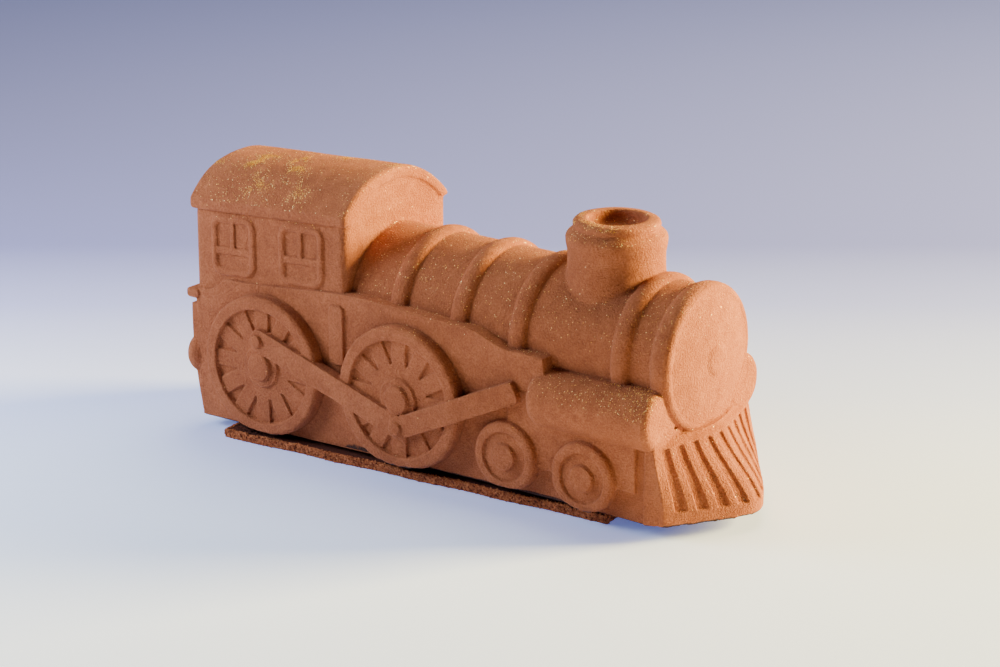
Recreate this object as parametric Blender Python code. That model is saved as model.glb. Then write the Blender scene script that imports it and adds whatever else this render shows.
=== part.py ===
# A yule log cake moulded in the shape of an old steam engine, on a thin sponge base.
# Lengths are metres, +Z is up and the engine faces +X. While the cake is being shaped,
# X and Z are measured from the rear axle, and the last step stands it on the origin.

import math

import bmesh
import bpy
from mathutils import Matrix, Vector

MM = 0.001

# Heights over the rear axle
FLOOR = -36.0 * MM
SPONGE_TOP = -32.0 * MM
CAKE_UNDERSIDE = -31.7 * MM
LEDGE_BOTTOM = -16.8 * MM
BOILER_AXIS = 31.4 * MM
CHIMNEY_RIM = 83.3 * MM
EAVE = 63.8 * MM
ROOF_APEX = 83.0 * MM

# Half widths, from the middle of the engine
FRAME_SIDE = 36.3 * MM
SHEET_SIDE = 37.5 * MM
CAB_SIDE = 36.0 * MM
ROOF_SIDE = 38.2 * MM
WHEEL_FACE = 43.5 * MM
SMALL_WHEEL_FACE = 41.0 * MM
ROD_FACE = 44.7 * MM

# Places along the engine, from the rear axle
CAB_REAR = -42.0 * MM
CAB_FRONT = 42.5 * MM
SHEET_REAR = -44.2 * MM
SHEET_FRONT = 145.8 * MM
PANEL_FRONT = 191.6 * MM
FRAME_FRONT = 200.0 * MM
BOILER_FACE = 202.5 * MM
CHIMNEY_X = 156.6 * MM
BAND_PLACES = [68.0 * MM, 99.3 * MM, 129.0 * MM, 178.8 * MM]

# The cab leans: its window sills, eaves and roof climb towards the front
CAB_CLIMB = 0.055

DRIVE_RADIUS = 31.5 * MM
DRIVE_AXLES = [0.0, 75.0 * MM]
SPOKE_COUNT = 12
SMALL_RADIUS = 15.2 * MM
SMALL_AXLES = [(128.6 * MM, -15.0 * MM), (167.4 * MM, -16.2 * MM)]

ROOF_RADIUS = 49.0 * MM
BOILER_RADIUS_REAR = 31.4 * MM
BOILER_RADIUS_FRONT = 28.9 * MM
BOILER_WIDENING = 1.04
BAND_PROUD = 2.3 * MM
BAND_HALF_WIDTH = 4.3 * MM

SPONGE_LENGTH = 202.0 * MM
SPONGE_WIDTH = 76.0 * MM
SPONGE_TURN = math.radians(3.05)
SPONGE_MIDDLE = (78.5 * MM, -1.7 * MM)

SIDES = (-1, 1)


def clear_scene():
    for found in list(bpy.data.objects):
        bpy.data.objects.remove(found, do_unlink=True)


def plain_material(name, colour, roughness):
    material = bpy.data.materials.new(name)
    material.use_nodes = True
    shader = material.node_tree.nodes["Principled BSDF"]
    shader.inputs["Base Color"].default_value = (*colour, 1.0)
    shader.inputs["Roughness"].default_value = roughness
    shader.inputs["Metallic"].default_value = 0.0
    return material


def add_mesh(shape, name, pieces):
    # Turns a bmesh into an object in the pieces' collection, with its faces outwards
    bmesh.ops.recalc_face_normals(shape, faces=shape.faces)
    mesh = bpy.data.meshes.new(name)
    shape.to_mesh(mesh)
    shape.free()
    made = bpy.data.objects.new(name, mesh)
    pieces.objects.link(made)
    return made


def round_edges(shape, width, segments):
    # Bevels the edges that turn by more than 30 degrees
    sharp = [edge for edge in shape.edges if edge.calc_face_angle(0.0) > math.radians(30)]
    bmesh.ops.bevel(shape, geom=sharp, offset=width, segments=segments, profile=0.5,
                    affect="EDGES", clamp_overlap=True)


def prism(outline, place, reach):
    # A closed outline of (a, b) points, carried from one reach to the other;
    # place(a, b, reach) gives the point in space
    shape = bmesh.new()
    ends = [[shape.verts.new(place(a, b, side)) for a, b in outline] for side in reach]
    count = len(outline)
    for i in range(count):
        j = (i + 1) % count
        shape.faces.new((ends[0][i], ends[0][j], ends[1][j], ends[1][i]))
    shape.faces.new(ends[0])
    shape.faces.new(ends[1])
    bmesh.ops.recalc_face_normals(shape, faces=shape.faces)
    return shape


def side_place(a, b, reach):
    # An outline drawn on the engine's side
    return (a, reach, b)


def end_place(a, b, reach):
    # An outline drawn on the engine's end
    return (reach, a, b)


def rounded_rectangle(middle, size, radius, steps):
    outline = []
    for quarter, (sx, sz) in enumerate(((1, 1), (-1, 1), (-1, -1), (1, -1))):
        corner_x = middle[0] + sx * (size[0] / 2 - radius)
        corner_z = middle[1] + sz * (size[1] / 2 - radius)
        for step in range(steps + 1):
            angle = math.radians(90) * (quarter + step / steps)
            outline.append((corner_x + radius * math.cos(angle), corner_z + radius * math.sin(angle)))
    return outline


def turned(profile, segments, place):
    # A profile of (radius, along) points from one pole to the other, turned all the way round;
    # place(across, up, along) gives the point in space
    shape = bmesh.new()
    rings = []
    for radius, along in profile:
        if radius == 0.0:
            rings.append([shape.verts.new(place(0.0, 0.0, along))])
            continue
        angles = [2 * math.pi * (i + 0.5) / segments for i in range(segments)]
        rings.append([shape.verts.new(place(radius * math.cos(t), radius * math.sin(t), along))
                      for t in angles])
    for lower, upper in zip(rings, rings[1:]):
        for i in range(segments):
            j = (i + 1) % segments
            corners = [lower[i % len(lower)], lower[j % len(lower)],
                       upper[j % len(upper)], upper[i % len(upper)]]
            different = list(dict.fromkeys(corners))
            if len(different) > 2:
                shape.faces.new(different)
    return shape


def on_side(side, x, z):
    # Places a turned shape with its axis across the engine
    def place(across, up, along):
        return (x + across, side * along, z + up)
    return place


def on_length(y, z, widening=1.0):
    # Places a turned shape with its axis along the engine
    def place(across, up, along):
        return (along, y + across * widening, z + up)
    return place


def upright(x, y):
    # Places a turned shape with its axis up
    def place(across, up, along):
        return (x + across, y + up, along)
    return place


def climb(shape):
    # Lifts the cab's shapes towards the front
    for vert in shape.verts:
        vert.co.z += CAB_CLIMB * (vert.co.x - CAB_REAR)


def smooth_step(amount):
    amount = min(max(amount, 0.0), 1.0)
    return amount * amount * (3 - 2 * amount)


def board_height(x):
    # The top line of the side sheet: low at the rear, high under the boiler, low at the front
    knots = [(-45.0, 26.2), (-20.0, 34.8), (50.0, 39.2), (106.0, 36.6), (129.0, 30.6), (150.0, 30.0)]
    along = x / MM
    for (x0, z0), (x1, z1) in zip(knots, knots[1:]):
        if along <= x1:
            return (z0 + (z1 - z0) * smooth_step((along - x0) / (x1 - x0))) * MM
    return knots[-1][1] * MM


def add_frame(pieces):
    outline = [(-39.6 * MM, CAKE_UNDERSIDE), (FRAME_FRONT, CAKE_UNDERSIDE), (FRAME_FRONT, 6 * MM),
               (150.0 * MM, 20 * MM), (-41.5 * MM, 20 * MM), (-41.5 * MM, -14 * MM)]
    shape = prism(outline, side_place, (-FRAME_SIDE, FRAME_SIDE))
    round_edges(shape, 1.2 * MM, 2)
    add_mesh(shape, "frame", pieces)


def add_side_sheets(pieces):
    steps = 30
    span = SHEET_FRONT - SHEET_REAR
    top = [(SHEET_REAR + span * i / steps, board_height(SHEET_REAR + span * i / steps))
           for i in range(steps + 1)]
    bottom = [(SHEET_FRONT + 1 * MM, 22 * MM), (PANEL_FRONT, 15 * MM), (PANEL_FRONT, LEDGE_BOTTOM - 1.6 * MM),
              (104.0 * MM, LEDGE_BOTTOM), (102.0 * MM, CAKE_UNDERSIDE + 0.4 * MM),
              (-40.0 * MM, CAKE_UNDERSIDE + 0.4 * MM), (-42.2 * MM, -14 * MM), (-44.4 * MM, 4 * MM)]
    shape = prism(top + bottom, side_place, (-SHEET_SIDE, SHEET_SIDE))
    round_edges(shape, 1.0 * MM, 2)
    add_mesh(shape, "side_sheets", pieces)


def add_rear(pieces):
    lip = rounded_rectangle((-42.3 * MM, 24.3 * MM), (6.4 * MM, 3.8 * MM), 1.4 * MM, 2)
    add_mesh(prism(lip, side_place, (-38.3 * MM, 38.3 * MM)), "rear_lip", pieces)
    dome = [(9.5 * MM * math.sin(math.radians(t)), -43.0 * MM - 6.5 * MM * math.cos(math.radians(t)))
            for t in range(0, 181, 20)]
    dome[0] = (0.0, dome[0][1])
    dome[-1] = (0.0, dome[-1][1])
    for side in SIDES:
        add_mesh(turned(dome, 16, on_length(side * 30 * MM, -4 * MM)), "buffer", pieces)


def arch_outline(radius, apex, half_width, foot):
    # An arch over two feet, seen from the engine's end
    half_angle = math.asin(half_width / radius)
    steps = 16
    outline = [(half_width, foot)]
    for i in range(steps + 1):
        angle = half_angle * (1 - 2 * i / steps)
        outline.append((radius * math.sin(angle), apex - radius * (1 - math.cos(angle))))
    outline.append((-half_width, foot))
    return outline


def add_cab(pieces):
    outline = arch_outline(ROOF_RADIUS - 3 * MM, ROOF_APEX - 3 * MM, CAB_SIDE, 12 * MM)
    shape = prism(outline, end_place, (CAB_REAR, CAB_FRONT))
    upright_corners = [edge for edge in shape.edges if abs(edge.verts[0].co.y) == CAB_SIDE
                       and abs(edge.verts[0].co.z - edge.verts[1].co.z) > 20 * MM]
    bmesh.ops.bevel(shape, geom=upright_corners, offset=3.2 * MM, segments=3, profile=0.5, affect="EDGES")
    climb(shape)
    add_mesh(shape, "cab", pieces)


def add_roof(pieces):
    outer = arch_outline(ROOF_RADIUS, ROOF_APEX, ROOF_SIDE - 0.6 * MM, EAVE)
    inner = arch_outline(ROOF_RADIUS - 4 * MM, ROOF_APEX - 4 * MM, CAB_SIDE - 1 * MM, EAVE)
    shape = prism(outer + inner[::-1], end_place, (CAB_REAR - 1.9 * MM, CAB_FRONT + 1.2 * MM))
    round_edges(shape, 1.6 * MM, 2)
    climb(shape)
    add_mesh(shape, "roof", pieces)


def add_window(pieces, place, middle, face, side):
    # A raised rounded frame round three sunk panes: two tall ones over a wide one
    proud = face + 1.0 * MM
    size = (23.2 * MM, 26.0 * MM)
    ring = bmesh.new()
    rows = [(0.0, face - 1 * MM), (0.6 * MM, proud), (3.0 * MM, proud), (3.6 * MM, face - 1 * MM)]
    loops = []
    for inset, reach in rows:
        outline = rounded_rectangle(middle, (size[0] - 2 * inset, size[1] - 2 * inset),
                                    max(5.2 * MM - inset, 1.4 * MM), 2)
        loops.append([ring.verts.new(place(a, b, side * reach)) for a, b in outline])
    for lower, upper in zip(loops, loops[1:] + loops[:1]):
        for i in range(len(lower)):
            j = (i + 1) % len(lower)
            ring.faces.new((lower[i], lower[j], upper[j], upper[i]))
    shapes = [ring]
    bars = [((0.0, 4.6 * MM), (1.7 * MM, 12.6 * MM)), ((0.0, -2.2 * MM), (16.8 * MM, 3.0 * MM))]
    for offset, bar_size in bars:
        outline = rounded_rectangle((middle[0] + offset[0], middle[1] + offset[1]), bar_size, 0.4 * MM, 1)
        shapes.append(prism(outline, place, (side * (face - 1 * MM), side * (face + 0.7 * MM))))
    for shape in shapes:
        climb(shape)
        add_mesh(shape, "window", pieces)


def add_windows(pieces):
    for side in SIDES:
        for x in (-19.3 * MM, 19.8 * MM):
            add_window(pieces, side_place, (x, 48.7 * MM), CAB_SIDE, side)
    for y in (-17.0 * MM, 17.0 * MM):
        add_window(pieces, end_place, (y, 48.7 * MM), -CAB_REAR, -1)


def band_rise(x):
    # How far the half-round bands stand off the boiler at x
    for place in BAND_PLACES:
        away = abs(x - place)
        if away < BAND_HALF_WIDTH:
            return BAND_PROUD * math.sqrt(1 - (away / BAND_HALF_WIDTH) ** 2)
    return 0.0


def boiler_radius(x):
    share = (x - CAB_FRONT) / (BOILER_FACE - CAB_FRONT)
    return BOILER_RADIUS_REAR + (BOILER_RADIUS_FRONT - BOILER_RADIUS_REAR) * share


def add_boiler(pieces):
    profile = [(0.0, 30 * MM), (boiler_radius(30 * MM), 30 * MM)]
    for place in BAND_PLACES:
        for step in range(-3, 4):
            x = place + BAND_HALF_WIDTH * math.sin(math.radians(90) * step / 3)
            profile.append((boiler_radius(x) + band_rise(x), x))
    ring = [(boiler_radius(193 * MM), -9.5), (30.4 * MM, -8.0), (31.3 * MM, -6.0), (31.2 * MM, -3.0),
            (30.2 * MM, -0.9), (28.4 * MM, 0.0), (26.9 * MM, -0.2), (18.0 * MM, 2.2), (6.3 * MM, 3.7),
            (5.5 * MM, 4.9), (0.0, 5.3)]
    profile += [(radius, BOILER_FACE + along * MM) for radius, along in ring]
    add_mesh(turned(profile, 40, on_length(0.0, BOILER_AXIS, BOILER_WIDENING)), "boiler", pieces)


def add_chimney(pieces):
    profile = [(0.0, 40.0), (24.0, 52.0), (22.2, 57.5), (20.7, 62.0), (20.4, 69.5), (21.2, 74.4),
               (20.5, 77.6), (19.0, 79.8), (19.1, 81.8), (17.8, 83.1), (15.2, 83.3), (12.7, 81.4),
               (11.0, 77.8), (7.5, 75.4), (0.0, 74.4)]
    lift = CHIMNEY_RIM - 83.3 * MM
    metres = [(radius * MM, height * MM + lift) for radius, height in profile]
    add_mesh(turned(metres, 26, upright(CHIMNEY_X, 0.0)), "chimney", pieces)


def add_drive_wheel(pieces, side, x):
    edge = DRIVE_RADIUS
    face = WHEEL_FACE
    plate = face - 2.1 * MM
    profile = [(0.0, 30 * MM), (edge, 30 * MM), (edge, face - 1.6 * MM), (edge - 1.6 * MM, face),
               (24.8 * MM, face), (24.3 * MM, plate), (0.0, plate)]
    add_mesh(turned(profile, 40, on_side(side, x, 0.0)), "drive_wheel", pieces)
    web = [(0.0, plate - 1 * MM), (14.8 * MM, plate - 1 * MM), (14.8 * MM, plate + 1.35 * MM),
           (0.0, plate + 1.35 * MM)]
    add_mesh(turned(web, 12, on_side(side, x, 0.0)), "web", pieces)
    hub = [(0.0, plate - 1 * MM), (9.4 * MM, plate - 1 * MM), (9.0 * MM, face + 0.2 * MM),
           (6.1 * MM, face + 0.2 * MM), (5.6 * MM, face + 1.3 * MM), (0.0, face + 1.3 * MM)]
    add_mesh(turned(hub, 16, on_side(side, x, 0.0)), "hub", pieces)
    for i in range(SPOKE_COUNT):
        add_spoke(pieces, side, x, plate, 360 / SPOKE_COUNT * i)


def add_spoke(pieces, side, x, plate, degrees):
    # A spoke fills the plate between two pockets, which are pointed towards the hub
    inner = 14.3 * MM
    outer = 24.9 * MM
    corners = [(inner, -14.6), (outer, -8.5), (outer, 0.0), (outer, 8.5), (inner, 14.6)]
    outline = []
    for radius, turn in corners:
        angle = math.radians(degrees + turn)
        outline.append((x + radius * math.cos(angle), radius * math.sin(angle)))
    reach = (side * (plate - 1 * MM), side * (plate + 1.3 * MM))
    add_mesh(prism(outline, side_place, reach), "spoke", pieces)


def add_small_wheel(pieces, side, x, z):
    face = SMALL_WHEEL_FACE
    profile = [(0.0, 30.0 * MM), (SMALL_RADIUS, 30.0 * MM), (SMALL_RADIUS, face - 1.4 * MM),
               (SMALL_RADIUS - 1.3 * MM, face), (10.9 * MM, face), (10.2 * MM, face - 1.1 * MM),
               (9.4 * MM, face - 0.3 * MM), (6.6 * MM, face - 0.3 * MM), (6.1 * MM, face + 0.6 * MM),
               (0.0, face + 0.9 * MM)]
    add_mesh(turned(profile, 22, on_side(side, x, z)), "small_wheel", pieces)


def rod_outline(start, end, half, rounding):
    # A bar from one point to the other, with its corners cut round
    run = Vector((end[0] - start[0], end[1] - start[1]))
    length = run.length
    angle = math.atan2(run.y, run.x)
    flat = rounded_rectangle((length / 2, 0.0), (length + 2 * half, 2 * half), rounding, 3)
    return [(start[0] + a * math.cos(angle) - b * math.sin(angle),
             start[1] + a * math.sin(angle) + b * math.cos(angle)) for a, b in flat]


def add_rods(pieces, side):
    inner = side * 39.5 * MM
    coupling = rod_outline((0.5 * MM, 12.2 * MM), (75 * MM, -11.8 * MM), 5.1 * MM, 4.6 * MM)
    driving = rod_outline((77.5 * MM, -11.6 * MM), (132.5 * MM, 13.0 * MM), 4.8 * MM, 1.6 * MM)
    for outline, face in ((coupling, ROD_FACE), (driving, ROD_FACE + 0.3 * MM)):
        shape = prism(outline, side_place, (inner, side * face))
        round_edges(shape, 0.5 * MM, 1)
        add_mesh(shape, "rod", pieces)
    for x, z, radius in ((-0.4 * MM, 12.0 * MM, 2.7 * MM), (75.2 * MM, -12.4 * MM, 3.2 * MM)):
        pin = [(0.0, 42 * MM), (radius, 42 * MM), (radius, ROD_FACE + 0.6 * MM),
               (radius - 0.6 * MM, ROD_FACE + 1.1 * MM), (0.0, ROD_FACE + 1.1 * MM)]
        add_mesh(turned(pin, 14, on_side(side, x, z)), "pin", pieces)


def add_plaque(pieces, side):
    outline = rounded_rectangle((38.8 * MM, 20.4 * MM), (7.8 * MM, 26.4 * MM), 2.2 * MM, 3)
    shape = prism(outline, side_place, (side * 35 * MM, side * (SHEET_SIDE + 1.3 * MM)))
    round_edges(shape, 0.6 * MM, 1)
    add_mesh(shape, "plaque", pieces)


def add_steam_cylinder(pieces, side):
    radius = 12.5 * MM
    rear = 137.6 * MM
    front = 200.4 * MM
    profile = []
    for step in range(4):
        angle = math.radians(90) * step / 3
        profile.append((radius * math.sin(angle), rear + 7.0 * MM * (1 - math.cos(angle))))
    for step in range(1, 4):
        angle = math.radians(90) * step / 3
        rounding = 3.0 * MM
        profile.append((radius - rounding * (1 - math.cos(angle)),
                        front - rounding * (1 - math.sin(angle))))
    profile.insert(4, (radius, front - 3.0 * MM))
    profile.append((0.0, front))
    profile[0] = (0.0, rear)
    add_mesh(turned(profile, 20, on_length(side * 31.6 * MM, 12.0 * MM)), "steam_cylinder", pieces)


def plough_front(y, z):
    # The plough's face: a rounded V in plan, which leans out further the lower it gets
    low = smooth_step((1 * MM - z) / (25 * MM)) * 0.35 + min(max((1 * MM - z) / (25 * MM), 0.0), 1.0) * 0.65
    corner = (199.6 + 5.2 * low) * MM
    nose = (208.0 + 19.4 * low) * MM
    half = 37.4 * MM
    blunt = 8.0 * MM
    share = (math.hypot(y, blunt) - blunt) / (math.hypot(half, blunt) - blunt)
    return nose + (corner - nose) * share


def add_plough(pieces):
    pitch = 7.7 * MM
    depth = 2.1 * MM
    half = 37.0 * MM
    columns = [(-half, 0.0)]
    for k in range(-4, 5):
        middle = k * pitch
        columns += [(middle - 2.1 * MM, 0.0), (middle - 1.5 * MM, depth), (middle + 1.5 * MM, depth),
                    (middle + 2.1 * MM, 0.0)]
    columns.append((half, 0.0))
    rows = [(CAKE_UNDERSIDE + 0.7 * MM, -1.6 * MM, 0), (-30.0 * MM, 0.0, 0), (-24.6 * MM, 0.0, 0),
            (-23.6 * MM, 0.0, 1), (-12.0 * MM, 0.0, 1), (0.2 * MM, 0.0, 1),
            (1.1 * MM, -0.2 * MM, 0), (3.6 * MM, -3.0 * MM, 0)]
    shape = bmesh.new()
    front = []
    for z, pull, cut in rows:
        front.append([shape.verts.new((plough_front(y, z) + pull - cut * groove, y, z))
                      for y, groove in columns])
    back = [[shape.verts.new((193.2 * MM, y, z)) for y, _ in columns] for z, _, _ in rows]
    last = len(rows) - 1
    for i in range(last):
        for j in range(len(columns) - 1):
            shape.faces.new((front[i][j], front[i][j + 1], front[i + 1][j + 1], front[i + 1][j]))
        for j in (0, len(columns) - 1):
            shape.faces.new((front[i][j], front[i + 1][j], back[i + 1][j], back[i][j]))
    for i in (0, last):
        for j in range(len(columns) - 1):
            shape.faces.new((front[i][j], front[i][j + 1], back[i][j + 1], back[i][j]))
    rim = [back[0][j] for j in range(len(columns))]
    rim += [back[i][-1] for i in range(1, last)]
    rim += [back[last][j] for j in reversed(range(len(columns)))]
    rim += [back[i][0] for i in reversed(range(1, last))]
    shape.faces.new(rim)
    inner = [back[i][j] for i in range(1, last) for j in range(1, len(columns) - 1)]
    bmesh.ops.delete(shape, geom=inner, context="VERTS")
    add_mesh(shape, "plough", pieces)


def add_sides(pieces):
    for side in SIDES:
        for x in DRIVE_AXLES:
            add_drive_wheel(pieces, side, x)
        for x, z in SMALL_AXLES:
            add_small_wheel(pieces, side, x, z)
        add_rods(pieces, side)
        add_plaque(pieces, side)
        add_steam_cylinder(pieces, side)


def fuse(pieces, name, material):
    # Joins the collection's pieces into one solid, then removes them
    empty_mesh = bpy.data.meshes.new(name)
    body = bpy.data.objects.new(name, empty_mesh)
    bpy.context.scene.collection.objects.link(body)
    union = body.modifiers.new("union", "BOOLEAN")
    union.operation = "UNION"
    union.operand_type = "COLLECTION"
    union.solver = "EXACT"
    union.use_self = True
    union.collection = pieces
    bpy.context.view_layer.update()
    graph = bpy.context.evaluated_depsgraph_get()
    mesh = bpy.data.meshes.new_from_object(body.evaluated_get(graph))
    body.modifiers.clear()
    body.data = mesh
    mesh.name = name
    bpy.data.meshes.remove(empty_mesh)
    for piece in list(pieces.objects):
        bpy.data.objects.remove(piece, do_unlink=True)
    bpy.data.collections.remove(pieces)
    mesh.materials.clear()
    mesh.materials.append(material)
    return body


def tidy_solid(body):
    # Drops slivers and closed-in scraps, and leaves triangles
    shape = bmesh.new()
    shape.from_mesh(body.data)
    bmesh.ops.remove_doubles(shape, verts=shape.verts, dist=0.02 * MM)
    bmesh.ops.dissolve_degenerate(shape, edges=shape.edges, dist=0.02 * MM)
    bmesh.ops.dissolve_limit(shape, angle_limit=math.radians(1.0), verts=shape.verts, edges=shape.edges)
    bmesh.ops.triangulate(shape, faces=shape.faces)
    keep_largest_shell(shape)
    bmesh.ops.recalc_face_normals(shape, faces=shape.faces)
    shape.to_mesh(body.data)
    shape.free()
    body.data.shade_smooth()
    body.data.set_sharp_from_angle(angle=math.radians(35))


def keep_largest_shell(shape):
    shells = []
    unseen = set(shape.faces)
    while unseen:
        stack = [unseen.pop()]
        shell = set(stack)
        while stack:
            for edge in stack.pop().edges:
                for face in edge.link_faces:
                    if face in unseen:
                        unseen.discard(face)
                        shell.add(face)
                        stack.append(face)
        shells.append(shell)
    shells.sort(key=len)
    loose = [face for shell in shells[:-1] for face in shell]
    bmesh.ops.delete(shape, geom=loose, context="FACES")
    stray = [vert for vert in shape.verts if not vert.link_faces]
    bmesh.ops.delete(shape, geom=stray, context="VERTS")


def make_cake():
    pieces = bpy.data.collections.new("pieces")
    bpy.context.scene.collection.children.link(pieces)
    add_frame(pieces)
    add_side_sheets(pieces)
    add_rear(pieces)
    add_cab(pieces)
    add_roof(pieces)
    add_windows(pieces)
    add_boiler(pieces)
    add_chimney(pieces)
    add_plough(pieces)
    add_sides(pieces)
    body = fuse(pieces, "moulded_cake", plain_material("cocoa_velvet", (0.44, 0.17, 0.07), 0.9))
    tidy_solid(body)
    return body


def make_sponge():
    # A thin slab under the cake, laid a little askew, with slightly wavy edges
    outline = []
    half = (SPONGE_LENGTH / 2, SPONGE_WIDTH / 2)
    for (x0, y0), (x1, y1) in (((-1, -1), (1, -1)), ((1, -1), (1, 1)), ((1, 1), (-1, 1)), ((-1, 1), (-1, -1))):
        steps = 20 if y0 == y1 else 8
        for i in range(steps):
            share = i / steps
            x = (x0 + (x1 - x0) * share) * half[0]
            y = (y0 + (y1 - y0) * share) * half[1]
            wave = 0.45 * MM * math.sin(x / (7.0 * MM) + 1.3 * y / (9.0 * MM))
            outline.append((x + wave * (x0 == x1), y + wave * (y0 == y1)))
    shape = prism(outline, lambda a, b, reach: (a, b, reach), (FLOOR, SPONGE_TOP))
    turn = Matrix.Rotation(SPONGE_TURN, 4, "Z")
    middle = Vector((SPONGE_MIDDLE[0], SPONGE_MIDDLE[1], 0.0))
    for vert in shape.verts:
        vert.co = turn @ vert.co + middle
    bmesh.ops.triangulate(shape, faces=shape.faces)
    slab = add_mesh(shape, "sponge_base", bpy.context.scene.collection)
    slab.data.materials.append(plain_material("sponge", (0.30, 0.10, 0.04), 0.95))
    return slab


def stand_on_origin(made):
    # Puts the middle of the cake's outline on the origin and its base at zero height
    corners = [vert.co for item in made for vert in item.data.vertices]
    low = [min(corner[axis] for corner in corners) for axis in range(3)]
    high = [max(corner[axis] for corner in corners) for axis in range(3)]
    shift = Vector((-(low[0] + high[0]) / 2, -(low[1] + high[1]) / 2, -low[2]))
    for item in made:
        item.data.transform(Matrix.Translation(shift))
        item.data.update()
    size = [round((high[axis] - low[axis]) / MM, 1) for axis in range(3)]
    print("rear axle at", [round(value / MM, 2) for value in shift], "mm, size", size, "mm")


def main():
    clear_scene()
    cake = make_cake()
    sponge = make_sponge()
    stand_on_origin([cake, sponge])
    for made in (cake, sponge):
        print(made.name, len(made.data.polygons), "faces")


main()
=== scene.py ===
import math

import bmesh
import bpy
from mathutils import Matrix, Vector, noise

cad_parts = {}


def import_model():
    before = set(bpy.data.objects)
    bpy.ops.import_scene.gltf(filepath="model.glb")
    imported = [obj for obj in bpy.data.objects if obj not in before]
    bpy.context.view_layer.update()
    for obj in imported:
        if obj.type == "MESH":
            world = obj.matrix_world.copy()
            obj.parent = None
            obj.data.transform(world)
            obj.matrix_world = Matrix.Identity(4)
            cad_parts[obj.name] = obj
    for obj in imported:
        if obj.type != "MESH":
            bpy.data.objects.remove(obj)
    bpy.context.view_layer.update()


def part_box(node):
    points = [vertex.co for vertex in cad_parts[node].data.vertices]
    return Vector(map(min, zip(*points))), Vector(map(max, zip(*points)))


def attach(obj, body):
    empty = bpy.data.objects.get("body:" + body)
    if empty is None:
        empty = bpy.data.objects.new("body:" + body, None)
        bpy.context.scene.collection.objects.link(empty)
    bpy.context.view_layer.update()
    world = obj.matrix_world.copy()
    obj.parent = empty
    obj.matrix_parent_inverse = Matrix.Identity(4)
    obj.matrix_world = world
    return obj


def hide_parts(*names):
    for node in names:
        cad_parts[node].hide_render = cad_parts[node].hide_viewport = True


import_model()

# The cake is shaped in millimetres, measured from the rear axle, and then put into the frame
mm = 0.001
bufferReach = 0.0495  # how far the buffers reach behind the axle, in metres
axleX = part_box("moulded_cake")[0][0] + bufferReach
axleZ = 0.036
sides = (-1, 1)

cake = {
    "floor": -36.0, "spongeTop": -32.0, "underside": -31.7, "ledge": -16.8,
    "boilerAxis": 31.4, "eave": 63.8, "roofApex": 83.0, "roofRadius": 49.0,
    "frameSide": 36.3, "sheetSide": 37.5, "cabSide": 36.0, "roofSide": 38.2,
    "wheelFace": 43.5, "smallWheelFace": 41.0, "rodFace": 44.7,
    "cabRear": -42.0, "cabFront": 42.5, "sheetRear": -44.2, "sheetFront": 145.8,
    "panelFront": 191.6, "frameFront": 200.0, "boilerFace": 202.5, "chimneyX": 156.6,
    "cabClimb": 0.055,
    "core": 30.0,          # wheels and boiler start this deep inside, so that nothing stands apart
    "voxel": 0.36,         # size of the cells that melt the pieces into one moulding
    "softening": 2,        # rounds of smoothing, for the soft edges of a mould
    "fineFaces": 197000,   # triangles left in the finished cake
}


def linkMesh(mesh, name):
    made = bpy.data.objects.new(name, mesh)
    bpy.context.scene.collection.objects.link(made)
    return made


def meshFrom(shape, name):
    mesh = bpy.data.meshes.new(name)
    shape.to_mesh(mesh)
    shape.free()
    return mesh


def shapeFrom(mesh):
    shape = bmesh.new()
    shape.from_mesh(mesh)
    return shape


def noteAtPoints(mesh, name, values):
    layer = mesh.attributes.new(name, "FLOAT", "POINT")
    layer.data.foreach_set("value", values)


def finishedMesh(item):
    graph = bpy.context.evaluated_depsgraph_get()
    return bpy.data.meshes.new_from_object(item.evaluated_get(graph))


def applyModifiers(item):
    result = finishedMesh(item)
    item.modifiers.clear()
    item.data = result


def smoothStep(amount):
    amount = min(max(amount, 0.0), 1.0)
    return amount * amount * (3 - 2 * amount)


def heightAlong(line, x):
    # The height at x on a line of (x, height) points, eased from one to the next
    for (x0, z0), (x1, z1) in zip(line, line[1:]):
        if x <= x1:
            return z0 + (z1 - z0) * smoothStep((x - x0) / (x1 - x0))
    return line[-1][1]


def put(tree, kind, options=None, feeds=None):
    # One node, with its options, and a link or a value for each input named in feeds
    node = tree.nodes.new(kind)
    for key, value in (options or {}).items():
        setattr(node, key, value)
    for key, value in (feeds or {}).items():
        if isinstance(value, bpy.types.NodeSocket):
            tree.links.new(value, node.inputs[key])
        else:
            node.inputs[key].default_value = value
    return node


def calc(tree, operation, first, second=None, third=None, clamp=False):
    feeds = {k: value for k, value in enumerate((first, second, third)) if value is not None}
    return put(tree, "ShaderNodeMath", {"operation": operation, "use_clamp": clamp}, feeds).outputs[0]


def weighed(tree, *pairs):
    # The sum of several amounts, each times its weight
    total = calc(tree, "MULTIPLY", *pairs[0])
    for pair in pairs[1:]:
        total = calc(tree, "ADD", total, calc(tree, "MULTIPLY", *pair))
    return total


def past(tree, amount, start, rate):
    # 0 until the amount passes its start, then rising to 1
    return calc(tree, "MULTIPLY", calc(tree, "SUBTRACT", amount, start), rate, clamp=True)


def eased(tree, amount, start=0.0, stop=1.0, top=1.0):
    return put(tree, "ShaderNodeMapRange", {"interpolation_type": "SMOOTHSTEP"},
               {"Value": amount, "From Min": start, "From Max": stop, "To Max": top}).outputs[0]


def vector(tree, x=0.0, y=0.0, z=0.0):
    return put(tree, "ShaderNodeCombineXYZ", None, {"X": x, "Y": y, "Z": z}).outputs[0]


def position(tree):
    spot = put(tree, "GeometryNodeInputPosition").outputs[0]
    return put(tree, "ShaderNodeSeparateXYZ", None, {0: spot}).outputs


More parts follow.
